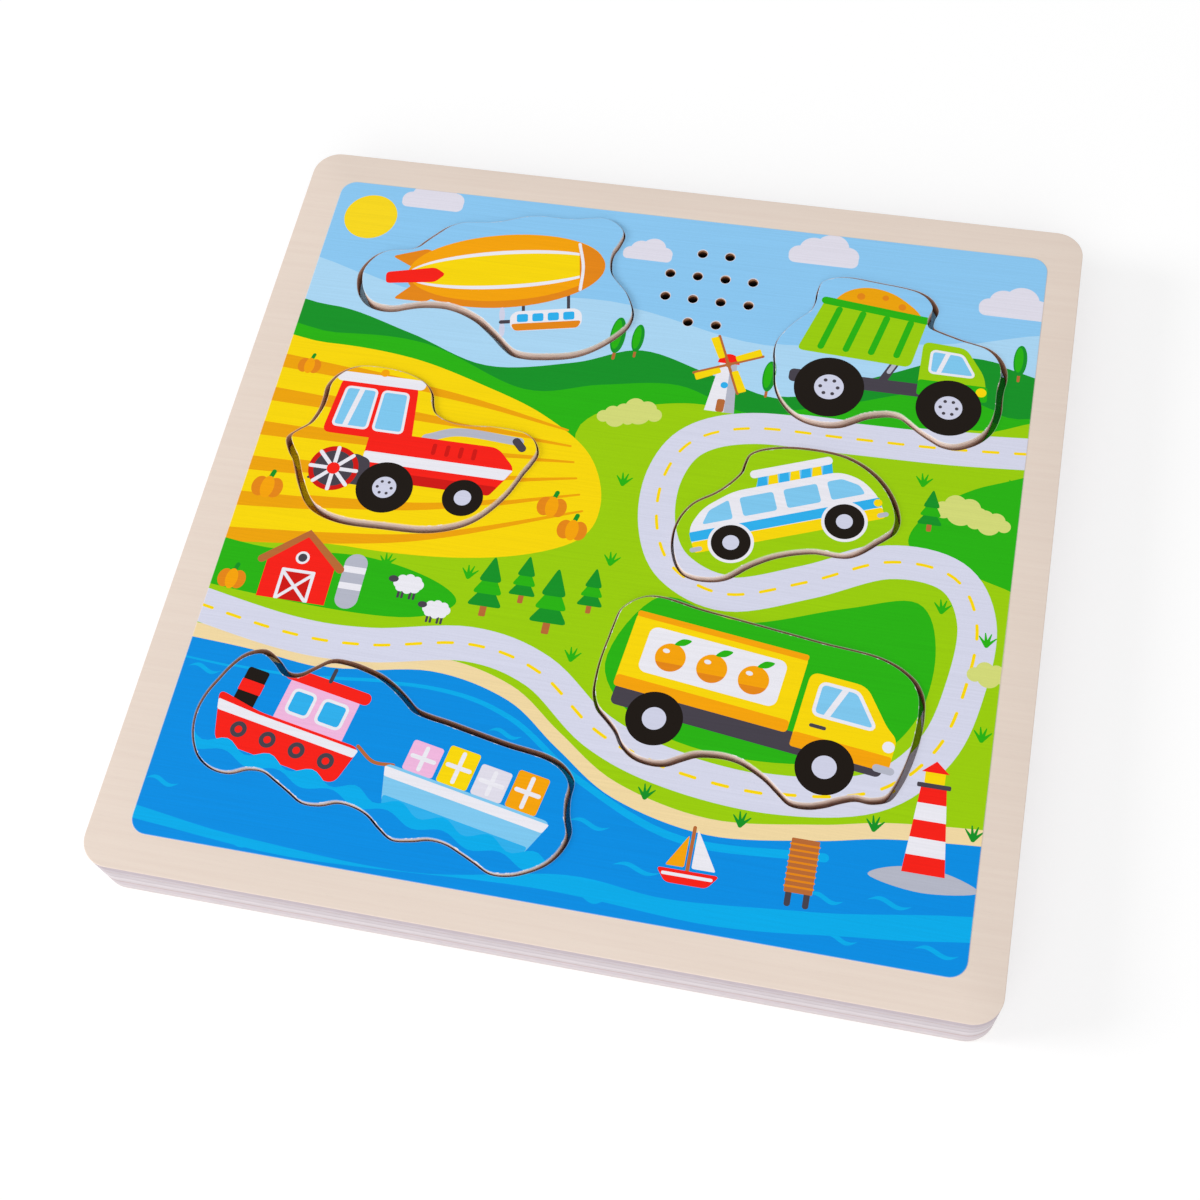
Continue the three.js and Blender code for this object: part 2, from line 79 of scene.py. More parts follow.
def applyModifier(piece, modifier):
    # the evaluated shape becomes the piece's own plain mesh
    depsgraph = bpy.context.evaluated_depsgraph_get()
    mesh = bpy.data.meshes.new_from_object(piece.evaluated_get(depsgraph), depsgraph=depsgraph)
    piece.modifiers.remove(modifier)
    piece.data = mesh


# Camera, from the photograph's own view of the face

cameraLook = {
    "place": (96.67, -281.55, 559.8),  # mm
    "aim": (1.26, -28.13, 23.4),
    "roll": -10.1,  # degrees
    "lens": 52.46, "sensor": 36,  # mm
    "nearest": 10,
}


def addCamera():
    place = Vector(cameraLook["place"]) * mm
    forward = (Vector(cameraLook["aim"]) * mm - place).normalized()
    level = forward.cross(Vector((0, 0, 1))).normalized()
    upright = level.cross(forward)
    roll = math.radians(cameraLook["roll"])
    right = level * math.cos(roll) + upright * math.sin(roll)
    up = upright * math.cos(roll) - level * math.sin(roll)
    data = bpy.data.cameras.new("camera")
    data.lens = cameraLook["lens"]
    data.sensor_width = cameraLook["sensor"]
    data.clip_start = cameraLook["nearest"] * mm
    camera = addObject("camera", data)
    turn = Matrix((right, up, -forward)).transposed().to_4x4()
    camera.matrix_world = Matrix.Translation(place) @ turn
    bpy.context.scene.camera = camera


addCamera()
print("camera placed")


# Outlines in the plane, as arrays of points that run anticlockwise

outlineLook = {"level": 0.01, "join": 1e-5, "decimals": 2, "mostCorner": 0.48}  # mm, and a share of a side


def ordered(loop):
    loop = np.asarray(loop, float)
    x, y = loop.T
    area = np.sum(x * np.roll(y, -1) - y * np.roll(x, -1))
    return loop if area > 0 else loop[::-1]


def smoothThrough(points, steps, closed=True):
    # Catmull-Rom curve through the points
    points = np.asarray(points, float)
    if not closed:
        points = np.vstack([2 * points[0] - points[1], points, 2 * points[-1] - points[-2]])
    before, after, later = np.roll(points, 1, 0), np.roll(points, -1, 0), np.roll(points, -2, 0)
    made = []
    for t in np.arange(steps) / steps:
        made.append(0.5 * (2 * points + (after - before) * t
                           + (2 * before - 5 * points + 4 * after - later) * t ** 2
                           + (3 * points - before - 3 * after + later) * t ** 3))
    curve = np.stack(made, 1)
    if closed:
        return curve.reshape(-1, 2)
    return np.vstack([curve[1:-2].reshape(-1, 2), points[-2]])


def offsetLoop(loop, distance):
    # grows an anticlockwise loop by the distance, or shrinks it
    along = np.roll(loop, -1, 0) - np.roll(loop, 1, 0)
    along /= np.linalg.norm(along, axis=1)[:, None]
    return loop + distance * np.stack([along[:, 1], -along[:, 0]], 1)


def oval(centre, wide, high, start=0, end=360, steps=56):
    full = abs(end - start) >= 360
    angles = np.radians(np.linspace(start, end, steps, endpoint=not full))
    return np.stack([centre[0] + wide * np.cos(angles), centre[1] + high * np.sin(angles)], 1)


def disc(centre, radius):
    return oval(centre, radius, radius)


def softPolygon(corners, radius, steps=6):
    # straight sides with rounded corners
    corners = np.asarray(corners, float)
    made = []
    for before, at, after in zip(np.roll(corners, 1, 0), corners, np.roll(corners, -1, 0)):
        back, on = before - at, after - at
        longest = outlineLook["mostCorner"] * min(np.linalg.norm(back), np.linalg.norm(on))
        cut = min(radius, longest)
        first = at + back / np.linalg.norm(back) * cut
        last = at + on / np.linalg.norm(on) * cut
        for t in np.linspace(0, 1, steps):
            made.append((1 - t) ** 2 * first + 2 * t * (1 - t) * at + t ** 2 * last)
    return np.array(made)


def roundBox(left, right, bottom, top, radius, steps=8):
    middles = ((right, top), (left, top), (left, bottom), (right, bottom))
    made = []
    for quarter, (x, y) in enumerate(middles):
        centre = (x - math.copysign(radius, x - (left + right) / 2),
                  y - math.copysign(radius, y - (bottom + top) / 2))
        made.append(oval(centre, radius, radius, 90 * quarter, 90 * quarter + 90, steps))
    return np.vstack(made)


def blob(points, steps=8):
    return smoothThrough(points, steps)


def stroke(points, width, endWidth=None, curved=True, steps=8):
    # a line of even or tapering width with round ends
    path = smoothThrough(points, steps, False) if curved and len(points) > 2 else np.asarray(points, float)
    along = np.gradient(path, axis=0)
    along /= np.linalg.norm(along, axis=1)[:, None]
    across = np.stack([-along[:, 1], along[:, 0]], 1)
    half = np.linspace(width, width if endWidth is None else endWidth, len(path))[:, None] / 2
    heading = np.degrees(np.arctan2(along[:, 1], along[:, 0]))
    tip = oval(path[-1], half[-1, 0], half[-1, 0], heading[-1] - 90, heading[-1] + 90, 9)
    tail = oval(path[0], half[0, 0], half[0, 0], heading[0] + 90, heading[0] + 270, 9)
    return np.vstack([path - across * half, tip, (path + across * half)[::-1], tail])


def placed(shapes, at, turn=0):
    angle = math.radians(turn)
    spin = np.array([[math.cos(angle), math.sin(angle)], [-math.sin(angle), math.cos(angle)]])
    return [(ink, np.asarray(shape) @ spin + np.asarray(at, float)) for ink, shape in shapes]


def inside(loop, points):
    # true for each point that the loop winds round
    loop = np.asarray(loop)
    found = np.zeros(len(points), bool)
    near = np.all((points >= loop.min(0)) & (points <= loop.max(0)), 1)
    x, y = points[near].T
    turns = np.zeros(len(x), int)
    for (ax, ay), (bx, by) in zip(loop, np.roll(loop, -1, 0)):
        left = (bx - ax) * (y - ay) - (x - ax) * (by - ay)
        turns += ((ay <= y) & (by > y) & (left > 0)).astype(int)
        turns -= ((ay > y) & (by <= y) & (left < 0)).astype(int)
    found[near] = turns != 0
    return found


def filled(loops, extraEdges=()):
    # triangles that keep every edge, over the loops' whole area
    points, edges = [], []
    for loop in loops:
        first, count = len(points), len(loop)
        points += [Vector(p) for p in loop]
        edges += [(first + i, first + (i + 1) % count) for i in range(count)]
    for start, end in extraEdges:
        edges.append((len(points), len(points) + 1))
        points += [Vector(start), Vector(end)]
    made = delaunay_2d_cdt(points, edges, [], 0, outlineLook["join"], False)
    return np.array([tuple(p) for p in made[0]]), np.array(made[2])


def loopsOf(node, top=True):
    # the outlines of a CAD node's top or bottom face, the outer one first
    mesh = nodes[node].data
    points = np.array([v.co for v in mesh.vertices]) / mm
    level = points[:, 2].max() if top else points[:, 2].min()
    places, edges = {}, set()
    for face in mesh.polygons:
        if np.abs(points[list(face.vertices), 2] - level).max() < outlineLook["level"]:
            ids = [tuple(np.round(points[i, :2], outlineLook["decimals"])) for i in face.vertices]
            places.update({key: points[i, :2] for key, i in zip(ids, face.vertices)})
            edges.update(zip(ids, ids[1:] + ids[:1]))
    following = {a: b for a, b in edges if (b, a) not in edges}
    loops = []
    while following:
        start, at = following.popitem()
        loop = [places[start]]
        while at != start:
            loop.append(places[at])
            at = following.pop(at)
        loops.append(ordered(loop))
    return sorted(loops, key=lambda loop: -np.ptp(loop[:, 0]))


def circleOf(loop, steps=40):
    centre = (loop.max(0) + loop.min(0)) / 2
    return oval(centre, *np.linalg.norm(loop - centre, axis=1).max().repeat(2), steps=steps)


# Meshes are gathered as shells of points and faces, each face with the number of its finish

meshLook = {"merge": 0.004, "sliver": 0.001, "sharpAngle": 35}  # mm, mm and degrees


def newShell():
    return {"points": [], "faces": [], "finishes": []}


def addFaces(shell, points, faces, finish):
    first = len(shell["points"])
    shell["points"] += [tuple(float(c) for c in p) for p in points]
    shell["faces"] += [[first + int(i) for i in face] for face in faces]
    shell["finishes"] += [finish] * len(faces)


def addWall(shell, low, lowHeight, high, highHeight, finish):
    count = len(low)
    points = [(*p, lowHeight) for p in low] + [(*p, highHeight) for p in high]
    turn = [(i + 1) % count for i in range(count)]
    addFaces(shell, points, [(i, turn[i], count + turn[i], count + i) for i in range(count)], finish)


def addCap(shell, outer, holes, height, finish):
    points, triangles = filled([outer, *holes])
    middles = points[triangles].mean(1)
    kept = inside(outer, middles)
    for hole in holes:
        kept &= ~inside(hole, middles)
    addFaces(shell, [(*p, height) for p in points], triangles[kept], finish)


def addTurned(shell, profile, finish, steps=40):
    # a profile of (radius, height) turned about Z, from the axis to the axis
    for (lowRadius, low), (highRadius, high) in zip(profile, profile[1:]):
        addWall(shell, oval((0, 0), lowRadius, lowRadius, steps=steps), low,
                oval((0, 0), highRadius, highRadius, steps=steps), high, finish)


def makeObject(name, shell, materials, move=None):
    mesh = bpy.data.meshes.new(name)
    mesh.from_pydata(shell["points"], [], shell["faces"])
    for material in materials:
        mesh.materials.append(material)
    mesh.polygons.foreach_set("material_index", shell["finishes"])
    mesh.transform(Matrix.Scale(mm, 4) @ (move or Matrix()))
    shape = bmesh.new()
    shape.from_mesh(mesh)
    bmesh.ops.remove_doubles(shape, verts=shape.verts, dist=meshLook["merge"] * mm)
    bmesh.ops.dissolve_degenerate(shape, edges=shape.edges, dist=meshLook["sliver"] * mm)
    loose = [v for v in shape.verts if not v.link_faces]
    bmesh.ops.delete(shape, geom=loose, context="VERTS")
    bmesh.ops.recalc_face_normals(shape, faces=shape.faces)
    shape.to_mesh(mesh)
    shape.free()
    mesh.shade_smooth()
    mesh.set_sharp_from_angle(angle=math.radians(meshLook["sharpAngle"]))
    return addObject(name, mesh)


def settle(piece, body, slot, *stoodFor):
    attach(piece, body)
    if stoodFor:
        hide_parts(*stoodFor)


# Materials

def newMaterial(name):
    material = bpy.data.materials.new(name)
    material.use_nodes = True
    tree = material.node_tree
    tree.nodes.clear()
    return material, tree


def stretchedNoise(tree, sizes, detail=3.0, roughness=0.55):
    # noise whose features measure sizes, in millimetres along X, Y and Z
    place = addNode(tree, "ShaderNodeTexCoord")
    scaled = addNode(tree, "ShaderNodeMapping", {"Scale": [1 / (s * mm) for s in sizes]},
                     {"Vector": place.outputs["Object"]})
    return addNode(tree, "ShaderNodeTexNoise", {"Scale": 1.0, "Detail": detail, "Roughness": roughness},
                   {"Vector": scaled})


def fit(low, high, fromLow=0.3, fromHigh=0.7):
    # settings of a Map Range node; most of a noise lies between 0.3 and 0.7
    return {"From Min": fromLow, "From Max": fromHigh, "To Min": low, "To Max": high}


def fillRamp(ramp, tones, stops):
    # tones at their stops along a colour ramp, in rising order
    elements = ramp.color_ramp.elements
    for i, (tone, stop) in enumerate(zip(tones, stops)):
        element = elements[i] if i < 2 else elements.new(stop)
        element.position = stop
        element.color = linear(tone)


def finishWith(tree, settings, links, bump):
    # a Principled surface, with a bump of (height, depth in mm, strength)
    height, depth, strength = bump
    bumped = addNode(tree, "ShaderNodeBump", {"Distance": depth * mm, "Strength": strength},
                     {"Height": height})
    surface = addNode(tree, "ShaderNodeBsdfPrincipled", settings, {**links, "Normal": bumped})
    addNode(tree, "ShaderNodeOutputMaterial", None, {"Surface": surface})


def shadedBy(tree, colour, first, second):
    # a colour scaled by the product of two grey values near 1
    shade = addNode(tree, "ShaderNodeMath", {"operation": "MULTIPLY"}, {0: first, 1: second})
    return addNode(tree, "ShaderNodeVectorMath", {"operation": "SCALE"}, {0: colour, "Scale": shade})


def printedPaper():
    # coated paper printed in flat inks and glued on: bright, satin, with the grain below just showing
    look = {"grain": (45, 0.62, 0.62), "grainTone": (0.96, 1.025), "depth": 0.03, "bump": 0.25,
            "fibre": (0.6, 0.6, 0.6), "fibreTone": (0.985, 1.012), "roughness": (0.42, 0.52),
            "chip": (2.4, 2.4, 2.4), "chipLimit": (0.5, 1.3, 0.36, 0.54), "torn": "#efebee",
            "tornEdge": (0.0, 1.0, 0.0, 0.15)}
    material, tree = newMaterial("printedPaper")
    ink = addNode(tree, "ShaderNodeAttribute", {"attribute_name": "ink"})
    # the saw tears the ink off here and there along the rim, and the white paper shows
    worn = addNode(tree, "ShaderNodeAttribute", {"attribute_name": "worn"})
    chips = stretchedNoise(tree, look["chip"], detail=4.0, roughness=0.65)
    limit = addNode(tree, "ShaderNodeMapRange", fit(*look["chipLimit"]), {"Value": chips})
    over = addNode(tree, "ShaderNodeMath", {"operation": "SUBTRACT"}, {0: worn.outputs["Fac"], 1: limit})
    torn = addNode(tree, "ShaderNodeMapRange", fit(*look["tornEdge"]), {"Value": over})
    face = addNode(tree, "ShaderNodeMix", {"data_type": "RGBA", 7: linear(look["torn"])},
                   {0: torn, 6: ink.outputs["Color"]})
    grain = stretchedNoise(tree, look["grain"], detail=2.0)
    fibre = stretchedNoise(tree, look["fibre"], detail=2.0)
    grainTone = addNode(tree, "ShaderNodeMapRange", fit(*look["grainTone"]), {"Value": grain})
    fibreTone = addNode(tree, "ShaderNodeMapRange", fit(*look["fibreTone"]), {"Value": fibre})
    rough = addNode(tree, "ShaderNodeMapRange", fit(*look["roughness"]), {"Value": fibre})
    finishWith(tree, {"Specular IOR Level": 0.1, "IOR": 1.5},
               {"Base Color": shadedBy(tree, face.outputs[2], grainTone, fibreTone), "Roughness": rough},
               (grain, look["depth"], look["bump"]))
    return material


def birchVeneer():
    # sanded, clear-coated birch veneer: pale beige, long faint grain and short darker flecks
    look = {"grain": (60, 1.4, 1.4), "fleck": (2.2, 0.4, 0.4), "cloud": (70, 40, 40),
            "tones": ("#e8d7ca", "#ebdbce"), "stops": (0.32, 0.66), "fleckTone": (1.0, 0.98, 0.62, 0.72),
            "cloudTone": (0.985, 1.01), "roughness": (0.62, 0.52), "depth": 0.01, "bump": 0.3}
    material, tree = newMaterial("birchVeneer")
    grain = stretchedNoise(tree, look["grain"], detail=4.0)
    fleck = stretchedNoise(tree, look["fleck"], detail=1.0)
    cloud = stretchedNoise(tree, look["cloud"], detail=2.0)
    fleckTone = addNode(tree, "ShaderNodeMapRange", fit(*look["fleckTone"]), {"Value": fleck})
    cloudTone = addNode(tree, "ShaderNodeMapRange", fit(*look["cloudTone"]), {"Value": cloud})
    rough = addNode(tree, "ShaderNodeMapRange", fit(*look["roughness"]), {"Value": grain})
    ramp = addNode(tree, "ShaderNodeValToRGB", None, {"Fac": grain})
    fillRamp(ramp, look["tones"], look["stops"])
    finishWith(tree, {"Specular IOR Level": 0.3, "IOR": 1.5},
               {"Base Color": shadedBy(tree, ramp, fleckTone, cloudTone), "Roughness": rough},
               (grain, look["depth"], look["bump"]))
    return material


def layeredEdge():
    # sanded edge of glued plies: pale bands of long grain and end grain, thin glue lines, fibre streaks
    look = {
        "plies": (  # thickness in mm and colour, from the underside up
            (1.3, "#ddd2d1"), (2.8, "#dfd6d8"), (3.4, "#d9ced2"), (0.9, "#cbb6b5"), (1.7, "#d9d0d3"),
            (2.6, "#e1d9dc"), (1.0, "#cfc5c9"), (3.1, "#d7ced2"), (0.8, "#c5bac0"), (2.1, "#d1c7cc"),
            (3.3, "#c6bac0"), (0.4, "#d3c5c2"),
        ),
        "blend": 0.12, "wander": 0.25, "depth": 0.08, "bump": 0.4,
        "streak": (30, 30, 0.7), "streakTone": (0.95, 1.02),
        "fibre": (6, 6, 0.9), "fibreTone": (0.93, 1.035),
    }
    material, tree = newMaterial("layeredEdge")
    place = addNode(tree, "ShaderNodeTexCoord")
    axes = addNode(tree, "ShaderNodeSeparateXYZ", None, {"Vector": place.outputs["Object"]})
    streak = stretchedNoise(tree, look["streak"])
    fibre = stretchedNoise(tree, look["fibre"])
    total = sum(thickness for thickness, tone in look["plies"])
    wander = fit(-look["wander"] * mm, look["wander"] * mm)
    wave = addNode(tree, "ShaderNodeMapRange", wander, {"Value": streak})
    height = addNode(tree, "ShaderNodeMath", {"operation": "ADD"}, {0: axes.outputs["Z"], 1: wave})
    share = addNode(tree, "ShaderNodeMapRange", fit(0.0, 1.0, 0.0, total * mm), {"Value": height})
    level = 0.0
    tones, stops = [], []
    for thickness, tone in look["plies"]:
        soft = min(look["blend"], 0.3 * thickness)
        tones += [tone, tone]
        stops += [(level + soft) / total, (level + thickness - soft) / total]
        level += thickness
    ramp = addNode(tree, "ShaderNodeValToRGB", None, {"Fac": share})
    fillRamp(ramp, tones, stops)
    streakTone = addNode(tree, "ShaderNodeMapRange", fit(*look["streakTone"]), {"Value": streak})
    fibreTone = addNode(tree, "ShaderNodeMapRange", fit(*look["fibreTone"]), {"Value": fibre})
    finishWith(tree, {"Specular IOR Level": 0.2, "IOR": 1.5, "Roughness": 0.7},
               {"Base Color": shadedBy(tree, ramp, streakTone, fibreTone)},
               (streak, look["depth"], look["bump"]))
    return material


def cutEdge(name, tones, stops):
    # wall of a cut shape: paler wood near the print, darker further down, partly the hot tool's burn and
    # partly painted shade of the deep gap
    look = {"low": 17.4, "high": 24.9, "plies": 1.5, "plyTone": (0.87, 1.02, -1.0, -0.3),
            "streak": (3.0, 3.0, 0.5), "streakTone": (0.93, 1.05), "wander": 0.12, "depth": 0.06,
            "bump": 0.4}
    material, tree = newMaterial(name)
    place = addNode(tree, "ShaderNodeTexCoord")
    axes = addNode(tree, "ShaderNodeSeparateXYZ", None, {"Vector": place.outputs["Object"]})
    streak = stretchedNoise(tree, look["streak"])
    level = fit(0.0, 1.0, look["low"] * mm, look["high"] * mm)
    share = addNode(tree, "ShaderNodeMapRange", level, {"Value": axes.outputs["Z"]})
    wave = addNode(tree, "ShaderNodeMapRange", fit(-look["wander"], look["wander"]), {"Value": streak})
    height = addNode(tree, "ShaderNodeMath", {"operation": "ADD"}, {0: share, 1: wave})
    ramp = addNode(tree, "ShaderNodeValToRGB", None, {"Fac": height})
    fillRamp(ramp, tones, stops)
    turn = addNode(tree, "ShaderNodeMath", {"operation": "MULTIPLY", 1: 2 * math.pi / (look["plies"] * mm)},
                   {0: axes.outputs["Z"]})
    bands = addNode(tree, "ShaderNodeMath", {"operation": "SINE"}, {0: turn})
    plyTone = addNode(tree, "ShaderNodeMapRange", fit(*look["plyTone"]), {"Value": bands})
    streakTone = addNode(tree, "ShaderNodeMapRange", fit(*look["streakTone"]), {"Value": streak})
    finishWith(tree, {"Specular IOR Level": 0.2, "IOR": 1.5, "Roughness": 0.75},
               {"Base Color": shadedBy(tree, ramp, plyTone, streakTone)},
               (streak, look["depth"], look["bump"]))
    return material


def grainedFinish(name, pale, deep, grain, roughness, depth, metallic=0.0, specular=0.5):
    # one colour that varies over patches of the grain's size in mm, with a bump of that depth
    look = {"stops": (0.3, 0.7), "roughSpread": 0.06, "bump": 0.3}
    material, tree = newMaterial(name)
    noise = stretchedNoise(tree, grain)
    ramp = addNode(tree, "ShaderNodeValToRGB", None, {"Fac": noise})
    fillRamp(ramp, (deep, pale), look["stops"])
    rough = addNode(tree, "ShaderNodeMapRange",
                    fit(roughness + look["roughSpread"], roughness - look["roughSpread"]), {"Value": noise})
    finishWith(tree, {"Metallic": metallic, "Specular IOR Level": specular},
               {"Base Color": ramp, "Roughness": rough}, (noise, depth, look["bump"]))
    return material


paper = printedPaper()
veneer = birchVeneer()
plyEdge = layeredEdge()
# recess walls: browner towards the recess floor, partly burn and partly painted shade
sawnEdge = cutEdge("sawnEdge", ("#6a4533", "#96694f", "#b98d74", "#cfab95"), (0.0, 0.3, 0.6, 1.0))
# painted light: the pieces' walls are a paler copy of the recess walls' cut wood, lit as their fronts are,
# and they too darken towards the bottom with painted shade
pieceEdgePaintedLightAndShade = cutEdge("pieceEdgePaintedLightAndShade", ("#d6ae99", "#e4c2af", "#f1d8ca", "#f7e4d9"), (0.0, 0.3, 0.6, 1.0))
# painted shade: tan only near the top, then almost black down the hole where the shade is deep
drilledEdgePaintedShade = cutEdge("drilledEdgePaintedShade", ("#0a0604", "#120a06", "#6b3d25", "#dcab84"), (0.0, 0.48, 0.66, 0.8))
# moulded ABS: near black, a fine spark-eroded texture, drawn coarser than life so that it shows
blackAbs = grainedFinish("blackAbs", "#2b2b2f", "#212124", (0.5, 0.5, 0.5), roughness=0.48, depth=0.03)
# nickel-plated steel: bright and slightly warm, faint rolling marks
nickelSteel = grainedFinish("nickelSteel", "#c9c7c2", "#aeaca8", (2.5, 0.3, 0.3), roughness=0.26, depth=0.01,
                            metallic=1.0)
# shrink sleeve on a dry cell: glossy film over a wrapped tube
cellSleeve = grainedFinish("cellSleeve", "#2f6fb4", "#2a66a8", (8, 8, 8), roughness=0.28, depth=0.02)
cellBand = grainedFinish("cellBand", "#d9a441", "#cf9a38", (8, 8, 8), roughness=0.3, depth=0.02)
# pressed black paper of a small speaker: matt and fibrous
conePaper = grainedFinish("conePaper", "#2b2926", "#1f1d1b", (0.8, 0.8, 0.8), roughness=0.9, depth=0.06,
                          specular=0.2)
# sintered ferrite: dark grey, slightly gritty
ferrite = grainedFinish("ferrite", "#3a3a3d", "#2d2d30", (0.6, 0.6, 0.6), roughness=0.6, depth=0.05)
# glass-cloth laminate under green solder mask: glossy, with the weave just showing
greenLaminate = grainedFinish("greenLaminate", "#2c7a45", "#256b3c", (1.2, 1.2, 1.2), roughness=0.4,
                              depth=0.02)
# epoxy drop over the chip: black and shiny
blackEpoxy = grainedFinish("blackEpoxy", "#1a1a1c", "#141416", (3, 3, 3), roughness=0.25, depth=0.03)
# white nylon body and dark window of a light sensor
whiteNylon = grainedFinish("whiteNylon", "#eceae4", "#e2dfd8", (1.0, 1.0, 1.0), roughness=0.45, depth=0.02)
sensorWindow = grainedFinish("sensorWindow", "#35231f", "#2a1b18", (1.5, 1.5, 1.5), roughness=0.12,
                             depth=0.005)
# soft vinyl insulation: red, slightly waxy
redVinyl = grainedFinish("redVinyl", "#b5322b", "#a52b25", (3, 3, 3), roughness=0.5, depth=0.02)
# medium-density fibreboard: brown, even and fuzzy where it is milled
fibreboard = grainedFinish("fibreboard", "#c2a17c", "#b39270", (0.9, 0.9, 0.9), roughness=0.85, depth=0.06,
                           specular=0.2)
# torn lip of white paper round a drilled hole
paperLip = grainedFinish("paperLip", "#e9e6ee", "#d9d3dc", (0.5, 0.5, 0.5), roughness=0.7, depth=0.03,
                         specular=0.3)
print("materials made")


# Printed picture: flat shapes painted in order, each with the name of its ink

inks = {
    "sky": "#8fcdf8", "haze": "#afdcfa", "cloud": "#e6e3f0", "sun": "#ffde1c", "grass": "#9ed203",
    "leaf": "#28b60c", "deepLeaf": "#119425", "paleLeaf": "#d9e07c", "wheat": "#ffdd00",
    "furrow": "#f3a800", "orange": "#fca800", "amber": "#ea8a14", "brown": "#bb6c36", "red": "#fd1f14",
    "deepRed": "#d3150f", "road": "#dbddf0", "water": "#0191e8", "wave": "#00b0f0", "glass": "#82cdf5",
    "window": "#2fb4f2", "pink": "#f6bce4", "black": "#150d06", "slate": "#46414b", "hub": "#d5d7ec",
    "sand": "#f7dea8", "white": "#f1f0f8", "stone": "#b9bccb", "paper": "#e8e4e6",
}


def wheel(centre, radius, bolts=0):
    made = [("black", disc(centre, radius)), ("hub", disc(centre, 0.42 * radius))]
    for i in range(bolts):
        angle = 2 * math.pi * i / bolts
        at = (centre[0] + 0.25 * radius * math.cos(angle), centre[1] + 0.25 * radius * math.sin(angle))
        made.append(("slate", disc(at, 0.055 * radius)))
    return made


def window(corners, radius=1.2, rim=1.0, glass="glass"):
    pane = softPolygon(corners, radius)
    return [("white", offsetLoop(ordered(pane), rim)), (glass, pane)]


def paneBox(left, right, bottom, top, radius=1.2, rim=1.0, glass="glass"):
    return window([(left, bottom), (right, bottom), (right, top), (left, top)], radius, rim, glass)


def airshipArt():
    look = {"at": (-62, 102), "turn": 12, "long": 38, "high": 17, "cabin": (2, 29, -28, -19), "panes": 4}
    long, high = look["long"], look["high"]
    left, right, bottom, top = look["cabin"]
    made = [
        ("amber", softPolygon([(-44, 10), (-30, 12.5), (-20, 5), (-33, 2)], 2)),
        ("amber", softPolygon([(-43, -10), (-30, -12.5), (-20, -5), (-33, -2)], 2)),
        ("slate", stroke([(7, -13), (7, -20)], 1.2)),
        ("slate", stroke([(24, -11), (24, -20)], 1.2)),
        ("amber", oval((0, 0), long, high)),
        ("orange", oval((0, 1.6), long - 0.6, high - 1.6)),
        ("white", oval((0, 0.6), long - 0.3, 0.52 * high)),
        ("wheat", oval((0, 0.6), long - 0.6, 0.42 * high)),
        ("amber", oval((0, 0), long, high, -42, 42)),
        ("white", stroke([(28.4, 10.6), (29.6, 0), (28.4, -10.6)], 1.2)),
        ("red", softPolygon([(-46, 2.6), (-27, 3.4), (-23, 0), (-27, -3.4), (-46, -2.6)], 1.6)),
        ("hub", oval((left - 3, top - 1.2), 1.1, 3.4)),
        ("hub", oval((left - 3, bottom + 1.2), 1.1, 3.4)),
        ("slate", stroke([(left - 3.4, -23.5), (left + 2, -23.5)], 1.6)),
        ("white", roundBox(left, right, bottom, top, 3.6)),
        ("amber", softPolygon([(left + 1.6, bottom + 0.2), (right - 1.6, bottom + 0.2),
                               (right - 0.2, bottom + 3.4), (left + 0.2, bottom + 3.4)], 1.4)),
    ]
    for i in range(look["panes"]):
        start = left + 2.6 + 5.8 * i
        made.append(("window", roundBox(start, start + 4.2, top - 5, top - 1.4, 0.8)))
    return placed(made, look["at"], look["turn"])


def tipperArt():
    look = {"rear": (66, 68.5), "front": (109, 66), "rearSize": 12.6, "frontSize": 11.6, "ribs": 4}
    made = [
        ("furrow", blob([(61, 102), (66, 110.5), (75, 113.8), (86, 111), (95, 102), (80, 97), (66, 97)])),
        ("amber", disc((72, 109.5), 1.5)),
        ("amber", disc((81, 110), 1.2)),
        ("amber", disc((87.5, 106.8), 1.4)),
        ("slate", roundBox(51, 119, 69, 74.5, 1.8)),
        ("slate", stroke([(84, 73), (89, 84)], 3)),
        ("stone", stroke([(86.3, 78), (89, 84)], 1.6)),
        ("grass", softPolygon([(52, 83), (59.5, 107), (97.5, 103), (93.5, 81)], 2.6)),
    ]
    for i in range(look["ribs"]):
        made.append(("leaf", stroke([(60.5 + 9.2 * i, 85.5), (65 + 8.8 * i, 102.6 - 0.8 * i)], 2.4)))
    made += [
        ("leaf", stroke([(59.5, 106), (97.2, 102)], 3.2)),
        ("grass", softPolygon([(97, 71), (97, 93), (112.5, 92), (120, 81), (122, 71)], 2.8)),
        ("leaf", softPolygon([(97, 70), (97, 76.6), (121.6, 76.6), (122, 70)], 1.2)),
        *window([(101, 80.5), (101, 89), (111.2, 88.4), (116, 80.5)]),
        ("white", softPolygon([(103, 80.5), (105.5, 88.9), (107.2, 88.8), (104.7, 80.5)], 0.2)),
        ("wheat", disc((119.6, 74), 1.9)),
        *wheel(look["rear"], look["rearSize"], 6),
        *wheel(look["front"], look["frontSize"], 6),
    ]
    return made


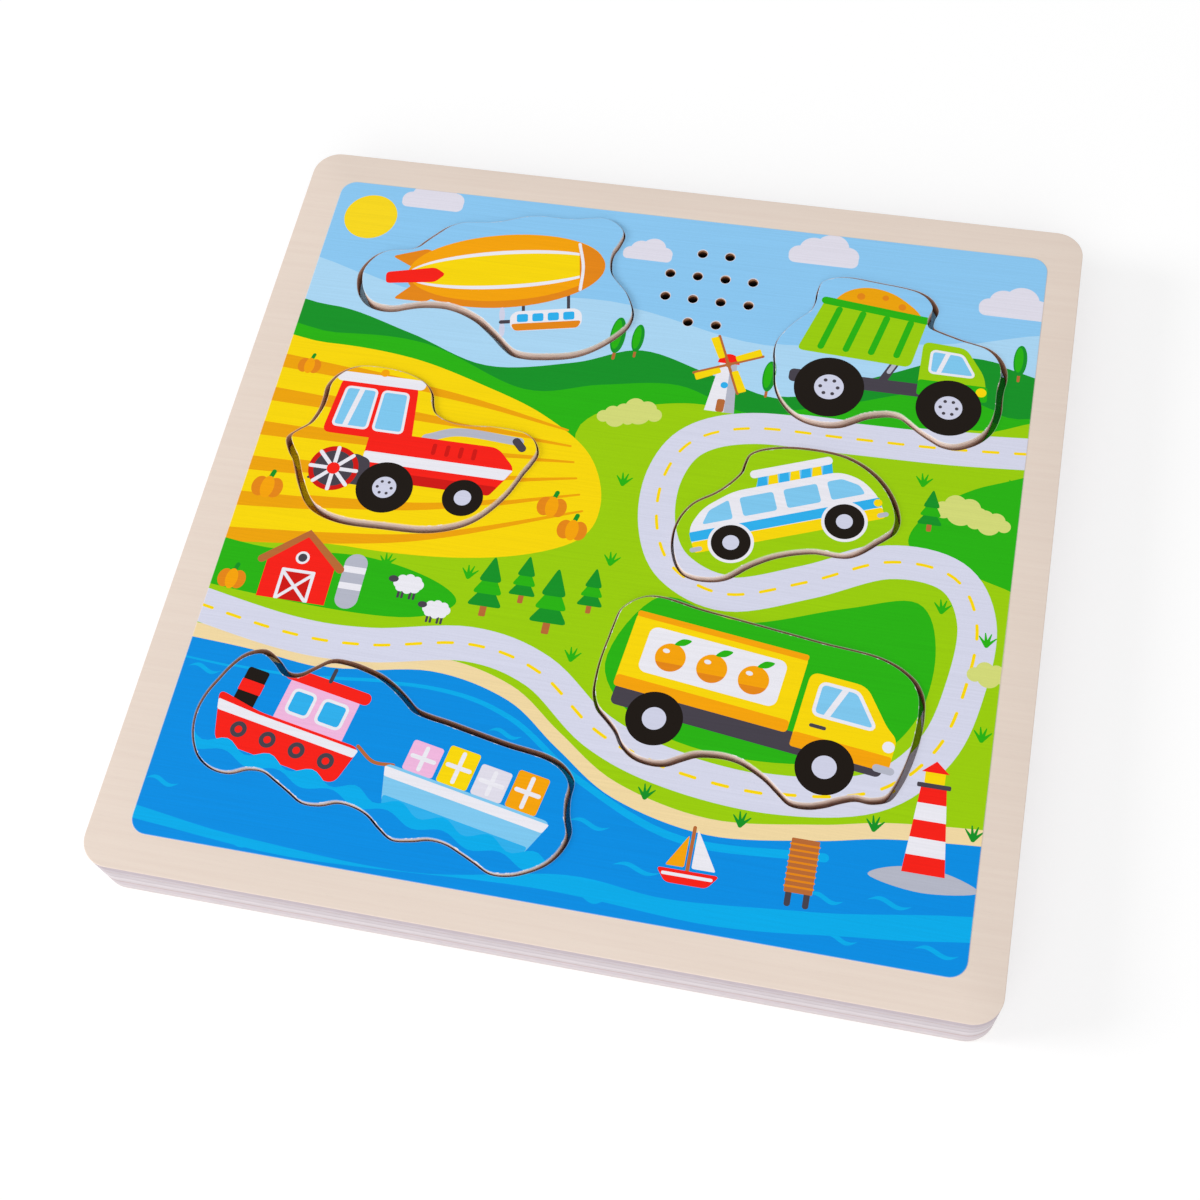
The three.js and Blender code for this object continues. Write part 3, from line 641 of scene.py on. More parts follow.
def harvesterArt():
    look = {"reel": (-104.5, 7.5), "reelSize": 9.2, "tines": 8, "front": (-84, 2.6), "rear": (-55, 2.8)}
    x, y = look["reel"]
    made = [
        ("stone", stroke([(-74, 25), (-62, 29.3), (-40, 28.6)], 3.4)),
        ("slate", stroke([(-41, 28.6), (-38.4, 26)], 3)),
        ("red", softPolygon([(-95, 5), (-95, 25), (-47, 25), (-39, 17), (-46, 5)], 3)),
        ("white", softPolygon([(-95, 12), (-95, 16.5), (-39.6, 16.5), (-42, 12)], 0.8)),
        ("deepRed", softPolygon([(-95, 5), (-95, 9), (-43.7, 9), (-46, 5)], 1.2)),
        ("red", softPolygon([(-113, 22), (-111, 46), (-82, 46), (-79, 22)], 3)),
        ("white", roundBox(-113.5, -79.5, 44.6, 48.8, 2)),
        *window([(-109.4, 26), (-108, 41.8), (-97.4, 41.8), (-97.4, 26)]),
        *window([(-94, 26), (-94, 41.8), (-85.4, 41.8), (-84, 26)]),
        ("white", softPolygon([(-106.2, 26), (-103.6, 41.8), (-101.6, 41.8), (-104.2, 26)], 0.2)),
        ("orange", disc((-96, 50), 1.6)),
    ]
    for i in range(4):
        made.append(("deepRed", stroke([(-70 + 5 * i, 19.2), (-70 + 5 * i, 22.4)], 1.6)))
    made += [
        ("slate", softPolygon([(-114, 2), (-90, 2), (-92, 13), (-98, 15)], 2)),
        ("deepRed", disc(look["reel"], look["reelSize"])),
        ("slate", disc(look["reel"], 0.8 * look["reelSize"])),
    ]
    for i in range(look["tines"]):
        angle = 2 * math.pi * i / look["tines"]
        tip = (x + 8.6 * math.cos(angle), y + 8.6 * math.sin(angle))
        made.append(("white", stroke([look["reel"], tip], 1.5)))
    made.append(("red", disc(look["reel"], 2.4)))
    return made + wheel(look["front"], 10.4, 6) + wheel(look["rear"], 7.4)


def camperArt():
    look = {"at": (59.2, 13.7), "turn": 21, "wheels": (-21, 19), "wheelSize": 6.9, "stripes": 7}
    made = [
        ("glass", softPolygon([(-9, 11), (-6, 18), (17, 18), (20, 11)], 1)),
    ]
    for i in range(look["stripes"]):
        start = -8 + 3.9 * i
        ink = "window" if i % 2 == 0 else "wheat"
        made.append((ink, softPolygon([(start, 12), (start + 1.6, 17.5), (start + 4.6, 17.5),
                                       (start + 3.9, 12)], 0.2)))
    made += [
        ("white", roundBox(-9, 20.5, 17, 20.2, 1.5)),
        ("white", softPolygon([(-34, -8), (-34.5, 2), (-28, 9), (-16, 13.4), (22, 13.4), (29, 8.4),
                               (33, 0), (33, -8)], 4)),
        ("window", softPolygon([(-34.4, -3.4), (-34.4, 0.4), (32.8, 0.4), (33, -3.4)], 0.6)),
        ("wheat", softPolygon([(-34, -8), (-34.4, -3.6), (33, -3.6), (33, -8)], 1)),
        *window([(-29.4, 2.6), (-26, 7.6), (-18.4, 10.4), (-18.4, 2.6)]),
        *paneBox(-14.6, -2.6, 2.8, 10.4),
        *paneBox(1, 13, 2.8, 10.4),
        *window([(16.6, 2.8), (16.6, 10.4), (22, 10.4), (27.4, 6.6), (28.6, 2.8)]),
        ("wheat", disc((32, -1.6), 1.5)),
        ("stone", stroke([(-34.6, -6.6), (-32, -6.6)], 1.8)),
        ("stone", stroke([(31.4, -6.6), (33.6, -6.6)], 1.8)),
    ]
    for at in look["wheels"]:
        made += [("white", disc((at, -6.4), look["wheelSize"] + 1.1)), *wheel((at, -6.4), look["wheelSize"])]
    return placed(made, look["at"], look["turn"])


def lorryArt():
    look = {"at": (59.7, -57), "turn": -7, "box": (-47, 13, -8, 21), "wheels": ((-30, -15.6), (28, -16)),
            "wheelSize": 9.6, "fruits": 3}
    left, right, bottom, top = look["box"]
    made = [
        ("slate", roundBox(left + 1, 46, -14.5, -7, 2)),
        ("wheat", roundBox(left, right, bottom, top, 3)),
        ("orange", softPolygon([(left, bottom), (left, bottom + 4.4), (right, bottom + 4.4),
                                (right, bottom)], 1.6)),
        ("orange", softPolygon([(left, top - 2.2), (left, top), (right, top), (right, top - 2.2)], 1)),
        ("white", roundBox(left + 6, right - 6, bottom + 7.4, top - 4.4, 3)),
    ]
    for i in range(look["fruits"]):
        x, y = left + 15.5 + 14.5 * i, bottom + 15
        made += [
            ("orange", disc((x, y), 5.2)),
            ("amber", oval((x, y), 5.2, 5.2, -150, -20)),
            ("leaf", blob([(x, y + 5), (x + 2, y + 7.6), (x + 5.2, y + 7.8), (x + 3.2, y + 5.4)])),
            ("white", oval((x - 2, y + 2), 1.2, 0.8)),
        ]
    made += [
        ("wheat", softPolygon([(15, -12), (15, 15.5), (34, 15.5), (44, 3), (48, 0), (48, -12)], 3.4)),
        ("orange", softPolygon([(15, -12), (15, -6.6), (48, -6.6), (48, -12)], 1.2)),
        *window([(20, 1.6), (20, 12), (31.6, 12), (39.6, 1.6)], 1.6, 1.2),
        ("white", softPolygon([(23, 1.6), (26.6, 12), (28.8, 12), (25.2, 1.6)], 0.2)),
        ("slate", stroke([(20, -3), (24.4, -3)], 1.3)),
        ("white", disc((46, -3.4), 2.0)),
        ("stone", stroke([(44, -11.4), (48.6, -11.4)], 2.6)),
    ]
    for at in look["wheels"]:
        made += wheel(at, look["wheelSize"])
    return placed(made, look["at"], look["turn"])


def tugArt():
    look = {"at": (-58.8, -98.9), "turn": -10.5, "tyres": 4, "crates": ("pink", "wheat", "cloud", "orange")}
    made = [
        ("black", roundBox(-57, -49, 1, 15.6, 1)),
        ("red", roundBox(-57.2, -48.8, 6.6, 11, 0.4)),
        ("pink", roundBox(-41, -15, 0, 17, 1.6)),
        ("red", roundBox(-44, -12, 16, 20.4, 2)),
        ("slate", stroke([(-28, 20), (-28, 24.4)], 1.4)),
        *paneBox(-37.6, -30.6, 5.4, 13, 1.4, 1.1, "window"),
        *paneBox(-26.4, -18.4, 5.4, 13, 1.4, 1.1, "window"),
        ("red", softPolygon([(-63, 4.4), (-46, 1.6), (-8, 1.6), (-11, -13), (-56, -13)], 3.2)),
        ("white", softPolygon([(-61.8, 1.4), (-60.4, -2.4), (-8.8, -2.4), (-8.2, 0.6), (-46, 0.6)], 0.8)),
        ("brown", stroke([(-9, 2), (-2, -1.2), (5, 0)], 1.2)),
        ("glass", softPolygon([(2, 0), (62, 0), (57, -14), (7, -14)], 3)),
        ("white", softPolygon([(2.4, -1), (61.6, -1), (60.4, -4.4), (3.6, -4.4)], 0.6)),
        ("window", softPolygon([(6, -10.4), (58, -10.4), (57, -14), (7, -14)], 1.2)),
    ]
    for i in range(look["tyres"]):
        at = (-50 + 11 * i, -6.6)
        made += [("slate", disc(at, 2.9)), ("red", disc(at, 1.3))]
    for i, ink in enumerate(look["crates"]):
        start, top = 8 + 12.4 * i, 11 + 2.4 * (i % 2)
        made += [
            (ink, roundBox(start, start + 11, 0, top, 1)),
            ("white", stroke([(start + 1.6, top / 2), (start + 9.4, top / 2)], 1.5)),
            ("white", stroke([(start + 5.5, 1.6), (start + 5.5, top - 1.6)], 1.5)),
        ]
    crest = [(-72 + 2 * i, -12.4 + 1.7 * math.sin(0.78 * i)) for i in range(74)]
    made.append(("wave", np.array([*crest, (76, -30), (-74, -30)])))
    crest = [(-72 + 2 * i, -16.4 + 1.5 * math.sin(0.62 * i + 1.4)) for i in range(74)]
    made.append(("water", np.array([*crest, (76, -32), (-74, -32)])))
    return placed(made, look["at"], look["turn"])


# Scenery behind the pieces

def cloud(x, y, size):
    bumps = ((-1.5, 0.1, 0.62), (-0.7, 0.55, 0.85), (0.35, 0.75, 1.0), (1.3, 0.25, 0.7))
    made = [("cloud", disc((x + size * a, y + size * b), size * r)) for a, b, r in bumps]
    base = roundBox(x - 2.1 * size, x + 2.0 * size, y - 0.52 * size, y + 0.4 * size, 0.42 * size)
    return [*made, ("cloud", base)]


def fir(x, y, tall):
    made = [("brown", roundBox(x - 0.05 * tall, x + 0.05 * tall, y, y + 0.24 * tall, 0.5))]
    for ink, low, high, wide in (("deepLeaf", 0.16, 0.58, 0.27), ("leaf", 0.36, 0.78, 0.23),
                                 ("deepLeaf", 0.56, 1.0, 0.18)):
        tips = [(x - wide * tall, y + low * tall), (x + wide * tall, y + low * tall), (x, y + high * tall)]
        made.append((ink, softPolygon(tips, 0.08 * tall)))
    return made


def poplar(x, y, tall):
    return [
        ("brown", stroke([(x, y), (x, y + 0.3 * tall)], 0.07 * tall)),
        ("deepLeaf", oval((x, y + 0.58 * tall), 0.16 * tall, 0.44 * tall)),
        ("leaf", oval((x - 0.03 * tall, y + 0.6 * tall), 0.1 * tall, 0.36 * tall)),
    ]


def shrub(x, y, size):
    bumps = ((-1.1, 0.25, 0.62), (-0.35, 0.72, 0.72), (0.55, 0.6, 0.7), (1.15, 0.2, 0.55), (0, 0.15, 0.9))
    return [("paleLeaf", disc((x + size * a, y + size * b), size * r)) for a, b, r in bumps]


def tuft(x, y, ink="leaf"):
    tips = ((-2.6, 3.2), (-0.7, 4.6), (1.3, 4.4), (3.0, 3.0))
    return [(ink, stroke([(x, y), (x + a, y + b)], 1.5, 0.4)) for a, b in tips]


def pumpkin(x, y, size):
    return [
        ("deepLeaf", stroke([(x, y + 0.6 * size), (x + 0.18 * size, y + 1.3 * size)], 0.36 * size)),
        ("amber", oval((x - 0.55 * size, y), 0.62 * size, 0.82 * size)),
        ("amber", oval((x + 0.55 * size, y), 0.62 * size, 0.82 * size)),
        ("orange", oval((x, y), 0.5 * size, 0.9 * size)),
    ]


def sheep(x, y, size):
    fleece = [("white", disc((x + size * math.cos(a), y + 0.55 * size * math.sin(a)), 0.52 * size))
              for a in np.arange(8) * math.pi / 4]
    legs = [("slate", stroke([(x + s * size, y - 0.5 * size), (x + s * size, y - 1.5 * size)], 0.26 * size))
            for s in (-0.75, -0.35, 0.4, 0.8)]
    head = [("slate", oval((x - 1.6 * size, y + 0.35 * size), 0.5 * size, 0.36 * size))]
    return legs + fleece + [("white", oval((x, y), size, 0.62 * size))] + head


def barn(x, y, wide):
    half, eaves, ridge = wide / 2, 0.62 * wide, 1.05 * wide
    door, doorTop = 0.2 * wide, 0.44 * wide
    return [
        ("stone", roundBox(x + 0.62 * wide, x + 0.95 * wide, y, y + 0.86 * wide, 0.16 * wide)),
        ("white", roundBox(x + 0.62 * wide, x + 0.95 * wide, y + 0.3 * wide, y + 0.4 * wide, 0.3)),
        ("white", roundBox(x + 0.62 * wide, x + 0.95 * wide, y + 0.56 * wide, y + 0.66 * wide, 0.3)),
        ("red", np.array([(x - half, y), (x + half, y), (x + half, y + eaves), (x, y + ridge),
                          (x - half, y + eaves)])),
        ("brown", stroke([(x - half - 2, y + eaves - 1), (x, y + ridge + 0.6), (x + half + 2, y + eaves - 1)],
                         3, None, False)),
        ("white", roundBox(x - door - 1.2, x + door + 1.2, y, y + doorTop + 1.2, 0.4)),
        ("deepRed", roundBox(x - door, x + door, y, y + doorTop, 0.2)),
        ("white", stroke([(x - door, y + 0.6), (x + door, y + doorTop - 0.6)], 1.2)),
        ("white", stroke([(x + door, y + 0.6), (x - door, y + doorTop - 0.6)], 1.2)),
        ("white", disc((x, y + 0.68 * wide), 0.1 * wide)),
        ("slate", disc((x, y + 0.68 * wide), 0.065 * wide)),
    ]


def windmill(x, y, tall):
    made = [
        ("white", np.array([(x - 0.26 * tall, y), (x + 0.26 * tall, y), (x + 0.15 * tall, y + tall),
                            (x - 0.15 * tall, y + tall)])),
        ("stone", np.array([(x + 0.08 * tall, y), (x + 0.26 * tall, y), (x + 0.15 * tall, y + tall),
                            (x + 0.04 * tall, y + tall)])),
        ("red", oval((x, y + tall), 0.19 * tall, 0.2 * tall, 0, 180)),
        ("brown", roundBox(x - 0.07 * tall, x + 0.07 * tall, y, y + 0.26 * tall, 0.8)),
        ("window", disc((x, y + 0.55 * tall), 0.065 * tall)),
    ]
    hub = (x, y + 0.98 * tall)
    for i in range(4):
        sail = [("brown", stroke([(0, 0), (0.62 * tall, 0)], 1.1)),
                ("wheat", softPolygon([(0.16 * tall, 0.3), (0.62 * tall, 0.3), (0.62 * tall, 0.16 * tall),
                                       (0.16 * tall, 0.13 * tall)], 0.6))]
        made += placed(sail, hub, 24 + 90 * i)
    return [*made, ("brown", disc(hub, 0.055 * tall))]


def lighthouse(x, y, tall):
    half = 0.17 * tall
    made = [("stone", blob([(x - 0.42 * tall, y - 1), (x - 0.2 * tall, y + 3.4), (x + 0.16 * tall, y + 3.6),
                            (x + 0.44 * tall, y - 1), (x, y - 4)]))]
    for i in range(5):
        low, high = i / 5, (i + 1) / 5
        a, b = half * (1 - 0.4 * low), half * (1 - 0.4 * high)
        bottom, top = y + 2 + low * 0.74 * tall, y + 2 + high * 0.74 * tall
        made.append(("red" if i % 2 == 0 else "white",
                     np.array([(x - a, bottom), (x + a, bottom), (x + b, top), (x - b, top)])))
    top = y + 2 + 0.74 * tall
    return made + [
        ("slate", roundBox(x - 0.8 * half, x + 0.8 * half, top - 0.6, top + 1, 0.5)),
        ("wheat", roundBox(x - 0.48 * half, x + 0.48 * half, top + 1, top + 0.13 * tall, 0.4)),
        ("red", np.array([(x - 0.66 * half, top + 0.12 * tall), (x + 0.66 * half, top + 0.12 * tall),
                          (x, top + 0.22 * tall)])),
    ]


def sailBoat(x, y, size):
    return [
        ("brown", stroke([(x, y), (x, y + 1.5 * size)], 1.2)),
        ("white", softPolygon([(x + 1.2, y + 0.2 * size), (x + 0.86 * size, y + 0.2 * size),
                               (x + 1.2, y + 1.46 * size)], 0.8)),
        ("orange", softPolygon([(x - 1.2, y + 0.2 * size), (x - 0.7 * size, y + 0.2 * size),
                                (x - 1.2, y + 1.24 * size)], 0.8)),
        ("red", softPolygon([(x - 0.95 * size, y + 0.1 * size), (x + 1.0 * size, y + 0.1 * size),
                             (x + 0.66 * size, y - 0.34 * size), (x - 0.62 * size, y - 0.34 * size)], 1.6)),
        ("white", stroke([(x - 0.72 * size, y - 0.06 * size), (x + 0.76 * size, y - 0.06 * size)], 1.1)),
    ]


def jetty(left, right, bottom, top):
    look = {"boards": 9, "postInset": 1.6}
    posts = (left + look["postInset"], right - look["postInset"])
    made = [("slate", roundBox(x - 1, x + 1, bottom - 4.6, bottom + 4, 0.9)) for x in posts]
    made.append(("brown", roundBox(left, right, bottom, top, 0.4)))
    for i in range(1, look["boards"]):
        y = bottom + (top - bottom) * i / look["boards"]
        made.append(("amber", stroke([(left, y), (right, y)], 0.7)))
    return made


def ripple(x, y, size):
    share = np.linspace(0, 1, 17)
    rise, thick = 1.1 * np.sin(2 * math.pi * share), 0.85 * np.sin(math.pi * share)
    along = x + size * (2 * share - 1)
    upper, lower = np.stack([along, y + rise + thick], 1), np.stack([along, y + rise - thick], 1)
    return [("wave", np.vstack([lower, upper[-2:0:-1]]))]


def scattered(make, *places):
    return [shape for place in places for shape in make(*place)]


def sceneryArt():
    look = {
        "half": 160,
        "lane": [(150, 53), (112, 50), (76, 49), (42, 48), (22, 40), (14, 24), (15, 4), (24, -12), (44, -19),
                 (70, -10), (96, 2), (118, 0), (128, -16), (127, -40), (120, -64), (102, -82), (70, -88),
                 (36, -85), (10, -76), (-14, -58), (-40, -52), (-74, -58), (-104, -58), (-150, -50)],
        "laneWidth": 13, "dash": 5, "furrows": 6,
    }
    far = look["half"]
    shore = [(-far, -64), (-118, -66), (-84, -69), (-50, -64), (-22, -70), (-2, -84), (20, -98), (52, -105),
             (86, -101), (112, -96), (far, -92)]
    shoreLine = smoothThrough(shore, 8, False)
    made = [
        ("sky", roundBox(-far, far, -far, far, 1)),
        ("haze", blob([(-far, 96), (-90, 88), (-20, 94), (40, 84), (100, 92), (far, 98), (far, 0),
                       (-far, 0)])),
        ("sun", disc((-121, 121), 10.5)),
        *scattered(cloud, (-98, 131, 6), (56, 126, 6.4), (128, 112, 6.2), (-10, 118, 4.6)),
        ("deepLeaf", blob([(-far, 70), (-126, 78), (-92, 70), (-60, 60), (-28, 66), (-4, 75), (24, 68),
                           (52, 62), (84, 76), (112, 88), (138, 84), (far, 76), (far, -30), (-far, -30)])),
        *scattered(poplar, (-14, 70, 17), (-6.5, 72, 14), (44, 62, 15), (132, 82, 15)),
        ("leaf", blob([(-far, 60), (-120, 66), (-84, 66), (-44, 52), (-16, 58), (12, 62), (40, 54), (72, 62),
                       (104, 72), (130, 66), (far, 60), (far, -40), (-far, -40)])),
        ("grass", blob([(-20, 40), (0, 51), (26, 55), (54, 46), (90, 52), (120, 58), (far, 52), (far, -120),
                        (-far, -120), (-far, 0), (-30, 0)])),
        ("wheat", blob([(-far, 57), (-122, 61), (-88, 59), (-58, 51), (-34, 42), (-14, 28), (-6, 8),
                        (-13, -8), (-44, -19), (-92, -22), (-far, -16)])),
    ]
    for i in range(look["furrows"]):
        path = [(-24 + 2.4 * i, 37 - 6.4 * i), (-62, 44 - 11.4 * i), (-100, 48 - 13.6 * i),
                (-150, 52 - 15.5 * i)]
        made.append(("furrow", stroke(path, 0.8, 6.4)))
    made += [
        ("leaf", blob([(far, 44), (128, 38), (108, 24), (102, 10), (116, 4), (136, -2), (far, -8)])),
        ("leaf", blob([(22, -24), (50, -29), (84, -18), (108, -12), (116, -30), (112, -56), (96, -72),
                       (60, -78), (26, -72), (8, -52)])),
        ("leaf", blob([(-far, -24), (-120, -27), (-84, -25), (-58, -30), (-48, -38), (-66, -46), (-110, -46),
                       (-far, -40)])),
        ("sand", np.vstack([shoreLine + (0, 5.5), [(far, -far), (-far, -far)]])),
        ("road", stroke(look["lane"], look["laneWidth"])),
    ]
    lane = smoothThrough(look["lane"], 8, False)
    reach = np.concatenate([[0], np.cumsum(np.linalg.norm(np.diff(lane, axis=0), axis=1))])
    dash = look["dash"]
    for start in np.arange(0, reach[-1] - dash, 2.2 * dash):
        ends = [[np.interp(start + s * dash, reach, lane[:, k]) for k in (0, 1)] for s in (0, 0.5, 1)]
        made.append(("wheat", stroke(ends, 1.1)))
    made += [
        *windmill(28.5, 53, 21),
        *scattered(shrub, (0, 47, 5), (-8, 44, 4), (118, 24, 5.4), (128, 21, 4.4)),
        *fir(108, 16, 17),
        *scattered(tuft, (104, 34), (134, 36)),
        *scattered(pumpkin, (-127, -3, 5), (-23, 5, 4.6), (-14, -3, 4.6), (-126, 50, 3.8)),
        *barn(-106, -46, 25),
        *pumpkin(-129, -41, 4.4),
        *scattered(sheep, (-66, -33, 3.6), (-54, -41, 3.3)),
        *scattered(fir, (-38, -41, 24), (-26, -34, 19), (-15, -44, 26), (-2, -34, 18)),
        *scattered(tuft, (-76, -27), (-46, -27), (0, 18), (2, -14), (-4, -52), (132, -24), (134, -58),
                   (116, -14)),
        *shrub(134, -36, 4.2),
        ("sand", blob([(98, -100), (112, -104), (140, -106), (150, -96), (130, -90)])),
        ("water", np.vstack([shoreLine, [(far, -far), (-far, -far)]])),
        ("wave", stroke([(-150, -72), (-100, -74), (-50, -70), (-20, -76), (8, -94), (44, -108),
                         (90, -106)], 0.6, 3)),
        ("wave", blob([(-far, -128), (-100, -132), (-40, -134), (10, -126), (44, -128), (90, -124),
                       (far, -118), (far, -far), (-far, -far)])),
        ("water", blob([(-far, -133), (-80, -136), (0, -132), (60, -134), (110, -129), (far, -126),
                        (far, -far), (-far, -far)])),
        *scattered(ripple, (-128, -76, 6), (-20, -82, 6), (14, -108, 7), (32, -120, 8), (92, -119, 6),
                   (112, -117, 7), (128, -130, 7), (66, -131, 8), (-130, -118, 6), (18, -132, 6),
                   (98, -131, 6), (-100, -134, 7)),
        *jetty(79, 88, -119, -101),
        *lighthouse(121, -108, 40),
        *sailBoat(48, -119, 10.5),
        *scattered(tuft, (104, -94, "deepLeaf"), (30, -96, "deepLeaf"), (62, -100, "deepLeaf"),
                   (135, -92, "deepLeaf")),
    ]
    return made


motifs = {"airship": airshipArt(), "tipper": tipperArt(), "harvester": harvesterArt(), "camper": camperArt(),
          "lorry": lorryArt(), "tug": tugArt()}
scenery = sceneryArt()
wholePicture = scenery + [shape for art in motifs.values() for shape in art]
print("picture drawn,", len(wholePicture), "shapes")


# Printed sheets: one thin closed sheet each, its face divided along the edges of the inks

sheetLook = {"rim": 0.2, "drop": 0.1, "paleRim": 0.22, "wear": 0.6, "pieceWear": 1.0, "recessWear": 0.5,
             "seam": 0.25, "leastEdge": 1e-4, "leastArea": 1e-9}


def distanceTo(loop, points, reach):
    # how far each point lies from the loop's nearest edge, if that is within reach
    found = np.full(len(points), float(reach))
    near = np.all((points > loop.min(0) - reach) & (points < loop.max(0) + reach), 1)
    for start, end in zip(loop, np.roll(loop, -1, 0)):
        along = end - start
        share = np.clip((points[near] - start) @ along / (along @ along), 0, 1)
        gaps = np.linalg.norm(points[near] - start - share[:, None] * along, axis=1)
        found[near] = np.minimum(found[near], gaps)
    return found


def artEdges(art, regions):
    # edges of the art that lie in any of the regions, each given as (lowest, highest)
    found = []
    for ink, shape in art:
        ends = np.roll(shape, -1, 0)
        low, high = np.minimum(shape, ends), np.maximum(shape, ends)
        near = np.zeros(len(shape), bool)
        for lowest, highest in regions:
            near |= np.all((high >= lowest) & (low <= highest), 1)
        near &= np.linalg.norm(ends - shape, axis=1) > sheetLook["leastEdge"]
        found += list(zip(shape[near], ends[near]))
    return found


def inkedFace(outer, holes, art, regions, wornLoops):
    # triangles of the printed face, each with the colour of the last ink that covers it
    rim, wear, pale = sheetLook["rim"], sheetLook["wear"], sheetLook["paleRim"]
    innerRims = [offsetLoop(outer, -rim)] + [offsetLoop(hole, rim) for hole in holes]
    wornRims = [offsetLoop(loop, -wear if loop is outer else wear) for loop in wornLoops]
    points, triangles = filled([outer, *holes, *innerRims, *wornRims], artEdges(art, regions))
    corners = points[triangles]
    sides = corners[:, 1] - corners[:, 0], corners[:, 2] - corners[:, 0]
    area = sides[0][:, 0] * sides[1][:, 1] - sides[0][:, 1] * sides[1][:, 0]
    triangles[area < 0] = triangles[area < 0][:, ::-1]
    middles = corners.mean(1)
    kept = inside(outer, middles) & (np.abs(area) > sheetLook["leastArea"])
    rimmed = ~inside(innerRims[0], middles)
    for hole, inner in zip(holes, innerRims[1:]):
        kept &= ~inside(hole, middles)
        rimmed |= inside(inner, middles)
    triangles, middles, rimmed = triangles[kept], middles[kept], rimmed[kept]
    white = np.array(linear(inks["paper"]))
    colours = np.tile(white, (len(triangles), 1))
    for ink, shape in art:
        colours[inside(shape, middles)] = linear(inks[ink])
    colours[rimmed] = colours[rimmed] * (1 - pale) + white * pale
    used, triangles = np.unique(triangles, return_inverse=True)
    return points[used], triangles.reshape(-1, 3), colours


def sheetMap(points, triangles, rimCount):
    # the face takes most of the map, the back and the rim lie small beside it
    look = {"face": 0.93, "back": 0.05, "backStart": 0.945, "rimStart": 0.08, "rimLong": 0.9, "rimFill": 0.8,
            "rimLow": 0.95, "rimHigh": 0.98}
    flat = (points - points.min(0)) / (points.max(0) - points.min(0))
    faceMap = flat * (1, look["face"])
    backMap = flat * look["back"] + (0, look["backStart"])
    places = [faceMap[t] for t in triangles] + [backMap[t[::-1]] for t in triangles]
    low, high = look["rimLow"], look["rimHigh"]
    for i in range(rimCount):
        left = look["rimStart"] + look["rimLong"] * i / rimCount
        right = look["rimStart"] + look["rimLong"] * (i + look["rimFill"]) / rimCount
        places.append(np.array([(right, high), (left, high), (left, low), (right, low)]))
    return np.vstack(places)


def printedSheet(name, outer, holes, art, heights, regions=None, wornLoops=(), wear=0.0):
    regions = regions or [(outer.min(0), outer.max(0))]
    points, triangles, colours = inkedFace(outer, holes, art, regions, wornLoops)
    bottom, top = heights
    count = len(points)
    edges = dict.fromkeys(edge for a, b, c in triangles for edge in ((a, b), (b, c), (c, a)))
    border = [(a, b) for a, b in edges if (b, a) not in edges]
    levels = np.full(count, float(top))
    levels[[a for a, b in border]] -= sheetLook["drop"]
    vertices = [(x * mm, y * mm, z * mm) for (x, y), z in zip(points, levels)]
    vertices += [(x * mm, y * mm, bottom * mm) for x, y in points]
    faces = [tuple(map(int, t)) for t in triangles]
    faces += [tuple(int(i) + count for i in t[::-1]) for t in triangles]
    faces += [(int(b), int(a), int(a) + count, int(b) + count) for a, b in border]

    mesh = bpy.data.meshes.new(name)
    mesh.from_pydata(vertices, [], faces)
    mesh.materials.append(paper)
    bare = np.tile(linear(inks["paper"]), (len(faces) - len(colours), 1))
    cornerCounts = [len(face) for face in faces]
    cornerColours = np.repeat(np.vstack([colours, bare]), cornerCounts, axis=0)
    ink = mesh.color_attributes.new("ink", "FLOAT_COLOR", "CORNER")
    ink.data.foreach_set("color", cornerColours.astype(np.float32).ravel())
    mesh.color_attributes.active_color = ink
    nearness = np.zeros(count)
    for loop in wornLoops:
        gaps = distanceTo(loop, points, sheetLook["wear"])
        nearness = np.maximum(nearness, 1 - gaps / sheetLook["wear"])
    worn = mesh.attributes.new("worn", "FLOAT", "POINT")
    worn.data.foreach_set("value", np.tile(wear * nearness, 2).astype(np.float32))
    layer = mesh.uv_layers.new(name="OFBake")
    layer.uv.foreach_set("vector", sheetMap(points, triangles, len(border)).astype(np.float32).ravel())
    return addObject(name, mesh)


def heightsOf(node):
    low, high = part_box(node)
    return low.z / mm, high.z / mm


# Boards and lift-out pieces

boardLook = {"cornerRadius": 10, "topRound": 0.3, "bottomRound": 0.6, "pieceRound": 0.25, "printCorner": 6,
             "openingCorner": 3.3, "widestDrill": 10, "margin": 0.1,
             "turns": 5, "cornerSteps": 12, "innerSteps": 10, "sawSteps": 4}
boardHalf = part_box("face_board")[1].x / mm


def boardRing(inset):
    half = boardHalf - inset
    return roundBox(-half, half, -half, half, boardLook["cornerRadius"] - inset, boardLook["cornerSteps"])


def addOuterWall(shell, bottom, top, finish, rounding, ring, cap):
    # a straight wall whose top or bottom edge, or both, are rounded over
    lowRound, highRound = rounding
    profile = [(0, bottom + lowRound), (0, top - highRound)]
    quarter = np.radians(np.linspace(0, 90, boardLook["turns"]))
    if highRound:
        profile += [(highRound * (1 - math.cos(a)), top - highRound * (1 - math.sin(a))) for a in quarter[1:]]
    if lowRound:
        profile = [(lowRound * (1 - math.cos(a)), bottom + lowRound * (1 - math.sin(a)))
                   for a in quarter[:0:-1]] + profile
    for (lowInset, low), (highInset, high) in zip(profile, profile[1:]):
        rounded = lowInset != highInset
        addWall(shell, ring(lowInset), low, ring(highInset), high, cap if rounded else finish)
    return profile[0][0], profile[-1][0]


